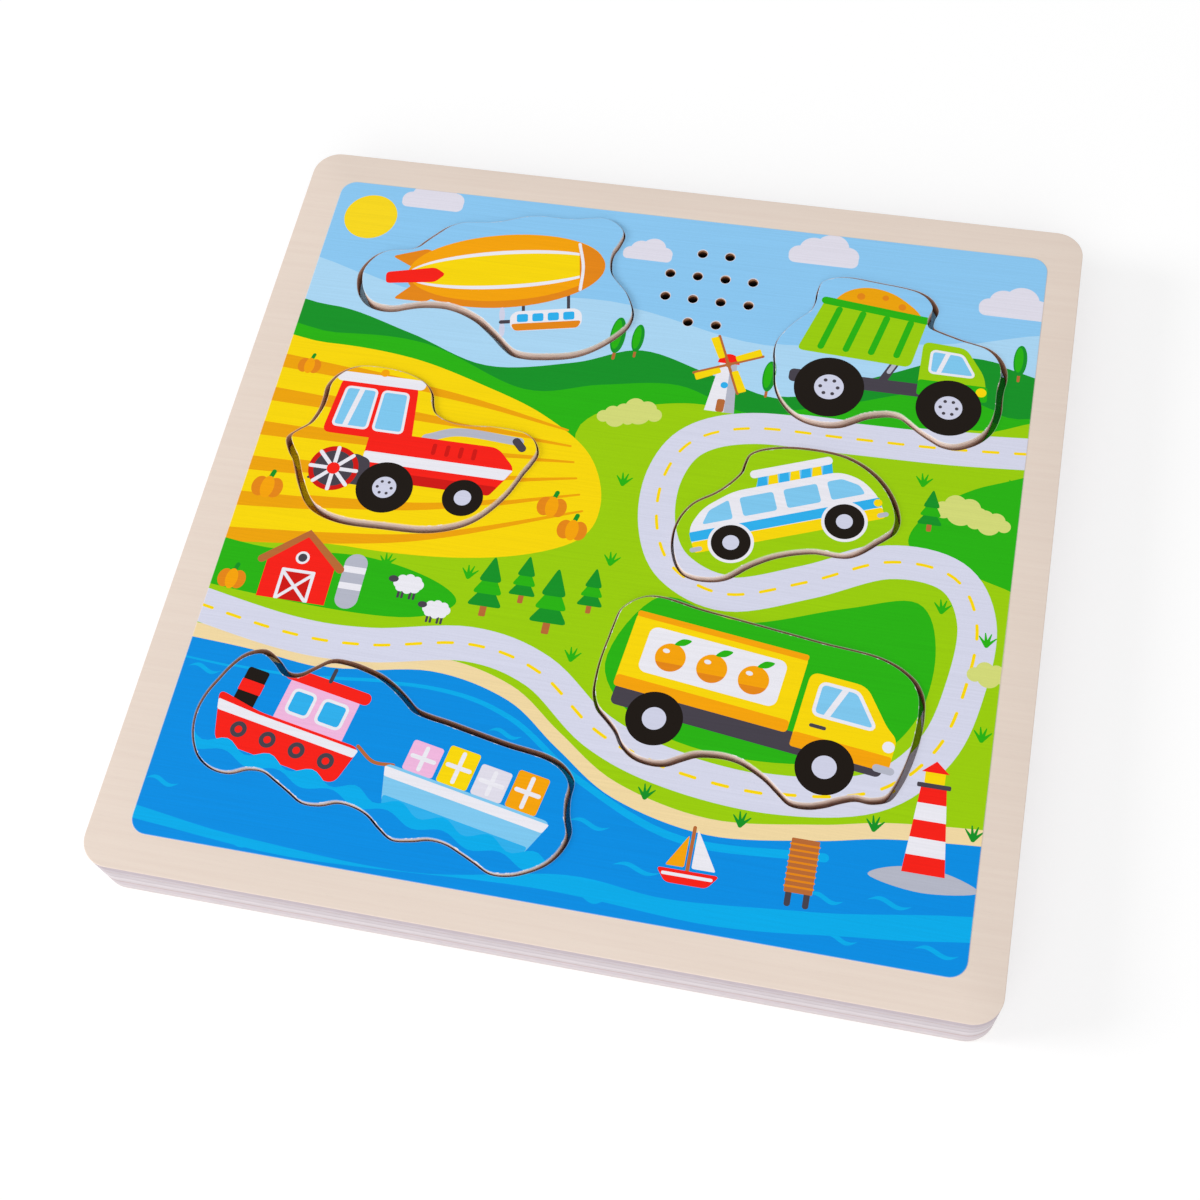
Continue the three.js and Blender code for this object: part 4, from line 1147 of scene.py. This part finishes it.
def board(name, node, holes, rounding):
    bottom, top = heightsOf(node)
    face, side, sawn, drilled = range(4)
    shell = newShell()
    lowInset, highInset = addOuterWall(shell, bottom, top, side, rounding, boardRing, face)
    addCap(shell, boardRing(lowInset), holes, bottom, face)
    addCap(shell, boardRing(highInset), holes, top, face)
    for hole in holes:
        narrow = np.ptp(hole[:, 0]) <= boardLook["widestDrill"]
        addWall(shell, hole, bottom, hole, top, drilled if narrow else sawn)
    piece = makeObject(name, shell, [veneer, plyEdge, sawnEdge, drilledEdgePaintedShade])
    settle(piece, "tray", "plywood", node)


# the outer loop comes first, then one loop for each lift-out piece, then the sound holes
pieceCount = len(pieceNames)
faceLoops = loopsOf("face_board")
recesses = [smoothThrough(loop, boardLook["sawSteps"]) for loop in faceLoops[1:1 + pieceCount]]
soundHoles = [circleOf(loop) for loop in faceLoops[1 + pieceCount:]]
sensorHoles = [circleOf(loop) for loop in loopsOf("floor_board")[1:1 + pieceCount]]
openingLoop = loopsOf("back_board")[1]
(openLeft, openBottom), (openRight, openTop) = openingLoop.min(0), openingLoop.max(0)
opening = roundBox(openLeft, openRight, openBottom, openTop, boardLook["openingCorner"],
                   boardLook["innerSteps"])

board("faceBoard", "face_board", recesses + soundHoles, (0, boardLook["topRound"]))
board("floorBoard", "floor_board", sensorHoles + soundHoles, (0, 0))
board("backBoard", "back_board", [opening], (boardLook["bottomRound"], 0))


def coreBoard():
    # the core keeps its milled pockets, with smooth corners outside
    bottom, top = heightsOf("core_board")
    mesh = nodes["core_board"].data
    points = np.array([v.co for v in mesh.vertices]) / mm
    reach = boardHalf - boardLook["cornerRadius"] - boardLook["margin"]
    shell = newShell()
    pockets = []
    for face in mesh.polygons:
        corners = points[list(face.vertices)]
        toFaces = np.minimum(abs(corners[:, 2] - top), abs(corners[:, 2] - bottom))
        onFace = max(np.ptp(corners[:, 2]), toFaces[0]) < outlineLook["level"]
        if not onFace and np.abs(corners[:, :2]).max() < reach:
            pockets.append(list(face.vertices))
    addFaces(shell, points, pockets, 0)
    addCap(shell, boardRing(0), loopsOf("core_board", False)[1:], bottom, 0)
    addCap(shell, boardRing(0), loopsOf("core_board")[1:], top, 0)
    addWall(shell, boardRing(0), bottom, boardRing(0), top, 1)
    piece = makeObject("coreBoard", shell, [fibreboard, plyEdge])
    settle(piece, "tray", "fibreboard", "core_board")


coreBoard()
print("boards built")

printLow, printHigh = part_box("face_print")
pictureEdge = roundBox(printLow.x / mm, printHigh.x / mm, printLow.y / mm, printHigh.y / mm,
                       boardLook["printCorner"], boardLook["innerSteps"])
facePrint = printedSheet("facePrint", pictureEdge, recesses + soundHoles, scenery, heightsOf("face_print"),
                         wornLoops=recesses, wear=sheetLook["recessWear"])
settle(facePrint, "tray", "printed_paper", "face_print")
recessRegions = [(loop.min(0), loop.max(0)) for loop in recesses]
floorPrint = printedSheet("floorPrint", boardRing(sheetLook["seam"]), sensorHoles + soundHoles, wholePicture,
                          heightsOf("floor_print"), recessRegions)
settle(floorPrint, "tray", "printed_paper", "floor_print")


def liftOutPiece(name):
    outline = smoothThrough(loopsOf(name + "_piece")[0], boardLook["sawSteps"])
    bottom, top = heightsOf(name + "_piece")
    face, side = range(2)
    shell = newShell()
    lowInset, highInset = addOuterWall(shell, bottom, top, side, (boardLook["pieceRound"], 0),
                                       lambda inset: offsetLoop(outline, -inset), side)
    addCap(shell, offsetLoop(outline, -lowInset), [], bottom, face)
    addCap(shell, offsetLoop(outline, -highInset), [], top, face)
    wood = makeObject(name + "Wood", shell, [veneer, pieceEdgePaintedLightAndShade])
    settle(wood, name, "plywood", name + "_piece")
    sheet = printedSheet(name + "Print", outline, [], scenery + motifs[name], heightsOf(name + "_print"),
                         wornLoops=[outline], wear=sheetLook["pieceWear"])
    settle(sheet, name, "printed_paper", name + "_print")


for name in pieceNames:
    liftOutPiece(name)
print("prints and pieces built")


# Repeated shapes grown by geometry nodes

def newTree(name, inputs):
    tree = bpy.data.node_groups.new(name, "GeometryNodeTree")
    tree.interface.new_socket("Geometry", in_out="INPUT", socket_type="NodeSocketGeometry")
    for label, kind in inputs:
        tree.interface.new_socket(label, in_out="INPUT", socket_type="NodeSocket" + kind)
    tree.interface.new_socket("Geometry", in_out="OUTPUT", socket_type="NodeSocketGeometry")
    return tree, addNode(tree, "NodeGroupInput").outputs


def endTree(tree, geometry, material):
    smooth = addNode(tree, "GeometryNodeSetShadeSmooth", None, {"Geometry": geometry})
    whole = addNode(tree, "GeometryNodeRealizeInstances", None, {"Geometry": smooth})
    coated = addNode(tree, "GeometryNodeSetMaterial", None, {"Geometry": whole, "Material": material})
    addNode(tree, "NodeGroupOutput", None, {0: coated})


def grown(name, tree, values, points=()):
    base = bpy.data.meshes.new(name)
    base.from_pydata([tuple(p) for p in points], [], [])
    piece = addObject(name, base)
    modifier = piece.modifiers.new("shape", "NODES")
    modifier.node_group = tree
    for socket in tree.interface.items_tree:
        if socket.in_out == "INPUT" and socket.name in values:
            modifier[socket.identifier] = values[socket.name]
    applyModifier(piece, modifier)
    return piece


def holeLips():
    # the drill leaves a thin pale lip of paper round each sound hole
    look = {"Lip Width": 0.3 * mm, "Flatness": 0.45}
    tree, given = newTree("holeLips", (("Hole Radius", "Float"), ("Lip Width", "Float"),
                                       ("Flatness", "Float"), ("Material", "Material")))
    half = addNode(tree, "ShaderNodeMath", {"operation": "MULTIPLY", 1: 0.5}, {0: given["Lip Width"]})
    radius = addNode(tree, "ShaderNodeMath", {"operation": "ADD"}, {0: given["Hole Radius"], 1: half})
    ring = addNode(tree, "GeometryNodeCurvePrimitiveCircle", {"Resolution": 40}, {"Radius": radius})
    section = addNode(tree, "GeometryNodeCurvePrimitiveCircle", {"Resolution": 8}, {"Radius": half})
    lip = addNode(tree, "GeometryNodeCurveToMesh", None, {0: ring, 1: section})
    flat = addNode(tree, "ShaderNodeCombineXYZ", {"X": 1.0, "Y": 1.0}, {"Z": given["Flatness"]})
    pressed = addNode(tree, "GeometryNodeTransform", None, {"Geometry": lip, "Scale": flat})
    spread = addNode(tree, "GeometryNodeInstanceOnPoints", None,
                     {"Points": given["Geometry"], "Instance": pressed})
    endTree(tree, spread, given["Material"])
    top = heightsOf("face_print")[1]
    places = [(*(hole.mean(0) * mm), (top - 0.5 * sheetLook["drop"]) * mm) for hole in soundHoles]
    values = {**look, "Hole Radius": np.ptp(soundHoles[0][:, 0]) / 2 * mm, "Material": paperLip}
    lips = grown("soundHoleLips", tree, values, places)
    settle(lips, "tray", "printed_paper")


def contactSprings():
    # a tapering spring presses on the flat end of each cell
    look = {"Turns": 4.5, "Wire": 0.55 * mm}
    taper = 0.62
    tree, given = newTree("contactSpring", (("Turns", "Float"), ("Wire", "Float"), ("Start Radius", "Float"),
                                            ("End Radius", "Float"), ("Length", "Float"), ("Turn", "Vector"),
                                            ("Place", "Vector"), ("Material", "Material")))
    coil = addNode(tree, "GeometryNodeCurveSpiral", {"Resolution": 28},
                   {"Rotations": given["Turns"], "Start Radius": given["Start Radius"],
                    "End Radius": given["End Radius"], "Height": given["Length"]})
    half = addNode(tree, "ShaderNodeMath", {"operation": "MULTIPLY", 1: 0.5}, {0: given["Wire"]})
    section = addNode(tree, "GeometryNodeCurvePrimitiveCircle", {"Resolution": 8}, {"Radius": half})
    wire = addNode(tree, "GeometryNodeCurveToMesh", {"Fill Caps": True}, {0: coil, 1: section})
    laid = addNode(tree, "GeometryNodeTransform", None,
                   {"Geometry": wire, "Rotation": given["Turn"], "Translation": given["Place"]})
    endTree(tree, laid, given["Material"])
    for number, side in ((1, 1), (2, -1)):
        node = f"contact_spring_{number}"
        low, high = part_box(node)
        middle = (low + high) / 2
        radius = (high.y - low.y) / 2 - look["Wire"] / 2
        start = low.x if side > 0 else high.x
        values = {**look, "Start Radius": radius, "End Radius": taper * radius,
                  "Length": high.x - low.x - look["Wire"], "Turn": (0, side * math.pi / 2, 0),
                  "Place": (start + side * look["Wire"] / 2, middle.y, middle.z), "Material": nickelSteel}
        settle(grown(f"contactSpring{number}", tree, values), "tray", "steel", node)


def coverRibs():
    # finger grip moulded on the cover
    look = {"Count": 9, "Spacing": 2.1 * mm, "Length": 13 * mm, "Width": 1.0 * mm, "Flatness": 0.8}
    tree, given = newTree("coverRibs", (("Count", "Int"), ("Spacing", "Float"), ("Length", "Float"),
                                        ("Width", "Float"), ("Flatness", "Float"), ("Place", "Vector"),
                                        ("Material", "Material")))
    half = addNode(tree, "ShaderNodeMath", {"operation": "MULTIPLY", 1: 0.5}, {0: given["Width"]})
    end = addNode(tree, "ShaderNodeCombineXYZ", None, {"Y": given["Length"]})
    bar = addNode(tree, "GeometryNodeCurvePrimitiveLine", None, {"End": end})
    cut = addNode(tree, "GeometryNodeResampleCurve", {"Count": 12}, {"Curve": bar})
    # each rib keeps its width and runs out at its ends
    along = addNode(tree, "GeometryNodeSplineParameter")
    bow = addNode(tree, "ShaderNodeMath", {"operation": "MULTIPLY_ADD", 1: 2.0, 2: -1.0},
                  {0: along.outputs["Factor"]})
    steep = addNode(tree, "ShaderNodeMath", {"operation": "POWER", 1: 8.0}, {0: bow})
    taper = addNode(tree, "ShaderNodeMath", {"operation": "SUBTRACT", 0: 1.02}, {1: steep})
    shaped = addNode(tree, "GeometryNodeSetCurveRadius", None, {"Curve": cut, "Radius": taper})
    section = addNode(tree, "GeometryNodeCurvePrimitiveCircle", {"Resolution": 12}, {"Radius": half})
    solid = addNode(tree, "GeometryNodeCurveToMesh", {"Fill Caps": True},
                    {0: shaped, 1: section, "Scale": taper})
    flat = addNode(tree, "ShaderNodeCombineXYZ", {"X": 1.0, "Y": 1.0}, {"Z": given["Flatness"]})
    pressed = addNode(tree, "GeometryNodeTransform", None, {"Geometry": solid, "Scale": flat})
    step = addNode(tree, "ShaderNodeCombineXYZ", None, {"X": given["Spacing"]})
    row = addNode(tree, "GeometryNodeMeshLine", None,
                  {"Count": given["Count"], "Start Location": given["Place"], "Offset": step})
    spread = addNode(tree, "GeometryNodeInstanceOnPoints", None, {"Points": row, "Instance": pressed})
    endTree(tree, spread, given["Material"])
    low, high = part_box("battery_cover")
    middle = (low + high) / 2
    first = middle.x - look["Spacing"] * (look["Count"] - 1) / 2
    sunk = 0.05 * mm
    place = (first, middle.y - look["Length"] / 2, low.z + sunk)
    settle(grown("coverRibs", tree, {**look, "Place": place, "Material": blackAbs}), "cover", "black_plastic")


holeLips()
contactSprings()
coverRibs()
print("repeated shapes grown")


# Battery compartment, sensors and what lies inside

softLook = {"round": 0.2, "segments": 2, "merge": 0.005, "flatAngle": 1, "sharpAngle": 40}  # mm and degrees


def softened(name, node, body):
    # a copy of a moulded CAD node with its edges rounded
    sharpAngle = math.radians(softLook["sharpAngle"])
    mesh = nodes[node].data.copy()
    mesh.name = name
    mesh.materials.clear()
    mesh.materials.append(blackAbs)
    mesh.polygons.foreach_set("material_index", [0] * len(mesh.polygons))
    shape = bmesh.new()
    shape.from_mesh(mesh)
    bmesh.ops.remove_doubles(shape, verts=shape.verts, dist=softLook["merge"] * mm)
    bmesh.ops.dissolve_limit(shape, angle_limit=math.radians(softLook["flatAngle"]), verts=shape.verts,
                             edges=shape.edges)
    sharp = [e for e in shape.edges if len(e.link_faces) == 2 and e.calc_face_angle(0) > sharpAngle]
    bmesh.ops.bevel(shape, geom=sharp, offset=softLook["round"] * mm, segments=softLook["segments"],
                    profile=0.5, affect="EDGES", clamp_overlap=True)
    bmesh.ops.triangulate(shape, faces=shape.faces)
    shape.to_mesh(mesh)
    shape.free()
    mesh.shade_smooth()
    mesh.set_sharp_from_angle(angle=sharpAngle)
    settle(addObject(name, mesh), body, "black_plastic", node)


softened("batteryHousing", "battery_housing", "tray")
softened("batteryCover", "battery_cover", "cover")


def screw():
    # pan head with a cross recess
    look = {"head": 2.7, "shank": 1.4, "headHigh": 0.9, "thread": 0.5, "crest": 0.16, "point": 1,
            "cross": (3.2, 0.75, 0.7), "crossTaper": 0.8, "crossStart": -1, "sharpAngle": 30}
    low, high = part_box("battery_screw")
    long = (high.z - low.z) / mm
    head, shank, headHigh = look["head"], look["shank"], look["headHigh"]
    profile = [(0, 0), (0.75 * head, 0.02), (0.93 * head, 0.12), (head, 0.34), (head, headHigh),
               (shank, headHigh)]
    level = headHigh + look["thread"]
    while level < long - look["point"]:
        profile += [(shank - look["crest"], level), (shank, level + look["thread"] / 2)]
        level += look["thread"]
    profile += [(0.5 * shank, long - 0.3), (0, long)]
    shell = newShell()
    addTurned(shell, profile, 0)
    middle = (low + high) / 2
    move = Matrix.Translation((middle.x / mm, middle.y / mm, low.z / mm))
    piece = makeObject("batteryScrew", shell, [nickelSteel], move)
    reach, wide, deep = look["cross"]
    for across, along in ((reach / 2, wide / 2), (wide / 2, reach / 2)):
        ring = np.array([(across, along), (-across, along), (-across, -along), (across, -along)])
        floorRing, start = ring * look["crossTaper"], look["crossStart"]
        part = newShell()
        addWall(part, ring, start, floorRing, deep, 0)
        addCap(part, ring, [], start, 0)
        addCap(part, floorRing, [], deep, 0)
        tool = makeObject("crossTool", part, [nickelSteel], move)
        modifier = piece.modifiers.new("cross", "BOOLEAN")
        modifier.object = tool
        modifier.solver = "EXACT"
        applyModifier(piece, modifier)
        bpy.data.objects.remove(tool)
    piece.data.set_sharp_from_angle(angle=math.radians(look["sharpAngle"]))
    settle(piece, "screw", "steel", "battery_screw")


def dryCell(number, side):
    # sleeve with a coloured end, a crimped steel rim at each end and the raised contact
    look = {"long": 44.5, "wide": 5.25, "nub": 1.9, "nubHigh": 0.9, "band": 11}
    low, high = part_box(f"battery_{number}")
    long, wide, nub = look["long"], look["wide"], look["nub"]
    top = long - look["nubHigh"]
    bandStart = top - look["band"]
    sleeve, band, steel = range(3)
    shell = newShell()
    addTurned(shell, [(0, 0), (0.72 * wide, 0), (0.8 * wide, 0.25), (0.86 * wide, 0.25)], steel)
    addTurned(shell, [(0.86 * wide, 0.25), (0.95 * wide, 0.05), (wide, 0.5), (wide, bandStart)], sleeve)
    addTurned(shell, [(wide, bandStart), (wide, top - 0.5), (0.94 * wide, top), (0.84 * wide, top - 0.2)],
              band)
    addTurned(shell, [(0.84 * wide, top - 0.2), (1.15 * nub, top - 0.2), (nub, long - 0.3),
                      (0.86 * nub, long), (0, long)], steel)
    middle = (low + high) / 2
    start = (low.x if side > 0 else high.x) / mm
    turn = Matrix.Rotation(side * math.pi / 2, 4, "Y")
    move = Matrix.Translation((start, middle.y / mm, middle.z / mm)) @ turn
    piece = makeObject(f"dryCell{number}", shell, [cellSleeve, cellBand, nickelSteel], move)
    settle(piece, "tray", "cell_label", f"battery_{number}")


def sensor(name):
    # white body whose dark window faces up through the recess floor
    look = {"flange": 3.5, "flangeHigh": 1.2, "stem": 1.5, "face": 2.5, "window": 1.7, "dome": 0.25,
            "sunk": 0.3, "edge": 0.3, "rim": 0.15}
    node = name + "_sensor"
    low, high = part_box(node)
    bottom, top = low.z / mm, high.z / mm
    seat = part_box("core_board")[1].z / mm
    ledge = seat - look["flangeHigh"]
    face, pane, sill = look["face"], look["window"], top - look["sunk"]
    shell = newShell()
    addTurned(shell, [(0, bottom), (look["stem"], bottom), (look["stem"], ledge), (look["flange"], ledge),
                      (look["flange"], seat), (face, seat), (face, top - look["edge"]),
                      (face - look["edge"], top), (pane + look["rim"], top), (pane, sill)], 0)
    turns = np.radians((0, 20, 45, 70, 90))
    addTurned(shell, [(pane * math.cos(a), sill + look["dome"] * math.sin(a)) for a in turns], 1)
    middle = (low + high) / 2
    piece = makeObject(name + "Sensor", shell, [whiteNylon, sensorWindow],
                       Matrix.Translation((middle.x / mm, middle.y / mm, 0)))
    settle(piece, "tray", "sensor_plastic", node)


screw()
dryCell(1, 1)
dryCell(2, -1)
for name in pieceNames:
    sensor(name)

innerFinishes = {
    "speaker_basket": nickelSteel, "speaker_cone": conePaper, "speaker_magnet": ferrite,
    "speaker_lead": redVinyl, "battery_lead": redVinyl, "circuit_board": greenLaminate,
    "sound_chip": blackEpoxy, "contact_plate_1": nickelSteel, "contact_plate_2": nickelSteel,
    **{name + "_sensor_lead": redVinyl for name in pieceNames},
}
for node, material in innerFinishes.items():
    nodes[node].data.materials.clear()
    nodes[node].data.materials.append(material)
print("battery compartment and inside finished")


# Floor, sky and lamps

studioLook = {
    "floorSide": 12, "floorLevel": -0.2 * mm, "floorTone": "#f3f2f4", "seenShare": 0.58, "seenGlow": 0.48,
    "ambient": 0.56,
    "lamps": {  # place in m, size in m, power in W
        "key": ((0.1, -3.9, 3.1), 5.0, 102),
        "side": ((-4.3, -0.9, 2.2), 1.8, 90),
    },
}


def seenDirectly(tree):
    # 1 for what the camera sees, also by reflection or through glass
    path = addNode(tree, "ShaderNodeLightPath")
    first = addNode(tree, "ShaderNodeMath", {"operation": "MAXIMUM"},
                    {0: path.outputs["Is Camera Ray"], 1: path.outputs["Is Glossy Ray"]})
    return addNode(tree, "ShaderNodeMath", {"operation": "MAXIMUM"},
                   {0: first, 1: path.outputs["Is Transmission Ray"]})


def addFloor():
    # matt white paper: it bounces light fully and is seen near white, with a soft shadow
    material, tree = newMaterial("whiteBackdrop")
    bounce = addNode(tree, "ShaderNodeBsdfDiffuse", {"Color": linear(studioLook["floorTone"])})
    share = studioLook["seenShare"]
    seen = addNode(tree, "ShaderNodeBsdfDiffuse", {"Color": [share, share, share, 1]})
    glow = addNode(tree, "ShaderNodeEmission", {"Color": [1, 1, 1, 1], "Strength": studioLook["seenGlow"]})
    lit = addNode(tree, "ShaderNodeAddShader", None, {0: seen, 1: glow})
    both = addNode(tree, "ShaderNodeMixShader", None, {0: seenDirectly(tree), 1: bounce, 2: lit})
    addNode(tree, "ShaderNodeOutputMaterial", None, {"Surface": both})
    half, level = studioLook["floorSide"] / 2, studioLook["floorLevel"]
    corners = [(-half, -half, level), (half, -half, level), (half, half, level), (-half, half, level)]
    mesh = bpy.data.meshes.new("floor")
    mesh.from_pydata(corners, [], [(0, 1, 2, 3)])
    mesh.materials.append(material)
    addObject("floor", mesh)


def addSky():
    world = bpy.data.worlds.new("studio")
    world.use_nodes = True
    tree = world.node_tree
    tree.nodes.clear()
    soft = addNode(tree, "ShaderNodeBackground", {"Color": [1, 1, 1, 1], "Strength": studioLook["ambient"]})
    white = addNode(tree, "ShaderNodeBackground", {"Color": [1, 1, 1, 1], "Strength": 1.0})
    both = addNode(tree, "ShaderNodeMixShader", None, {0: seenDirectly(tree), 1: soft, 2: white})
    addNode(tree, "ShaderNodeOutputWorld", None, {"Surface": both})
    bpy.context.scene.world = world


def addLamp(name, place, size, power):
    data = bpy.data.lights.new(name, "AREA")
    data.shape = "DISK"
    data.size = size
    data.energy = power
    lamp = addObject(name, data)
    lamp.location = place
    lamp.rotation_mode = "QUATERNION"
    lamp.rotation_quaternion = (-Vector(place)).to_track_quat("-Z", "Y")


addFloor()
addSky()
for name, (place, size, power) in studioLook["lamps"].items():
    addLamp(name, place, size, power)
bpy.context.scene.view_settings.view_transform = "Standard"
print("studio lit")
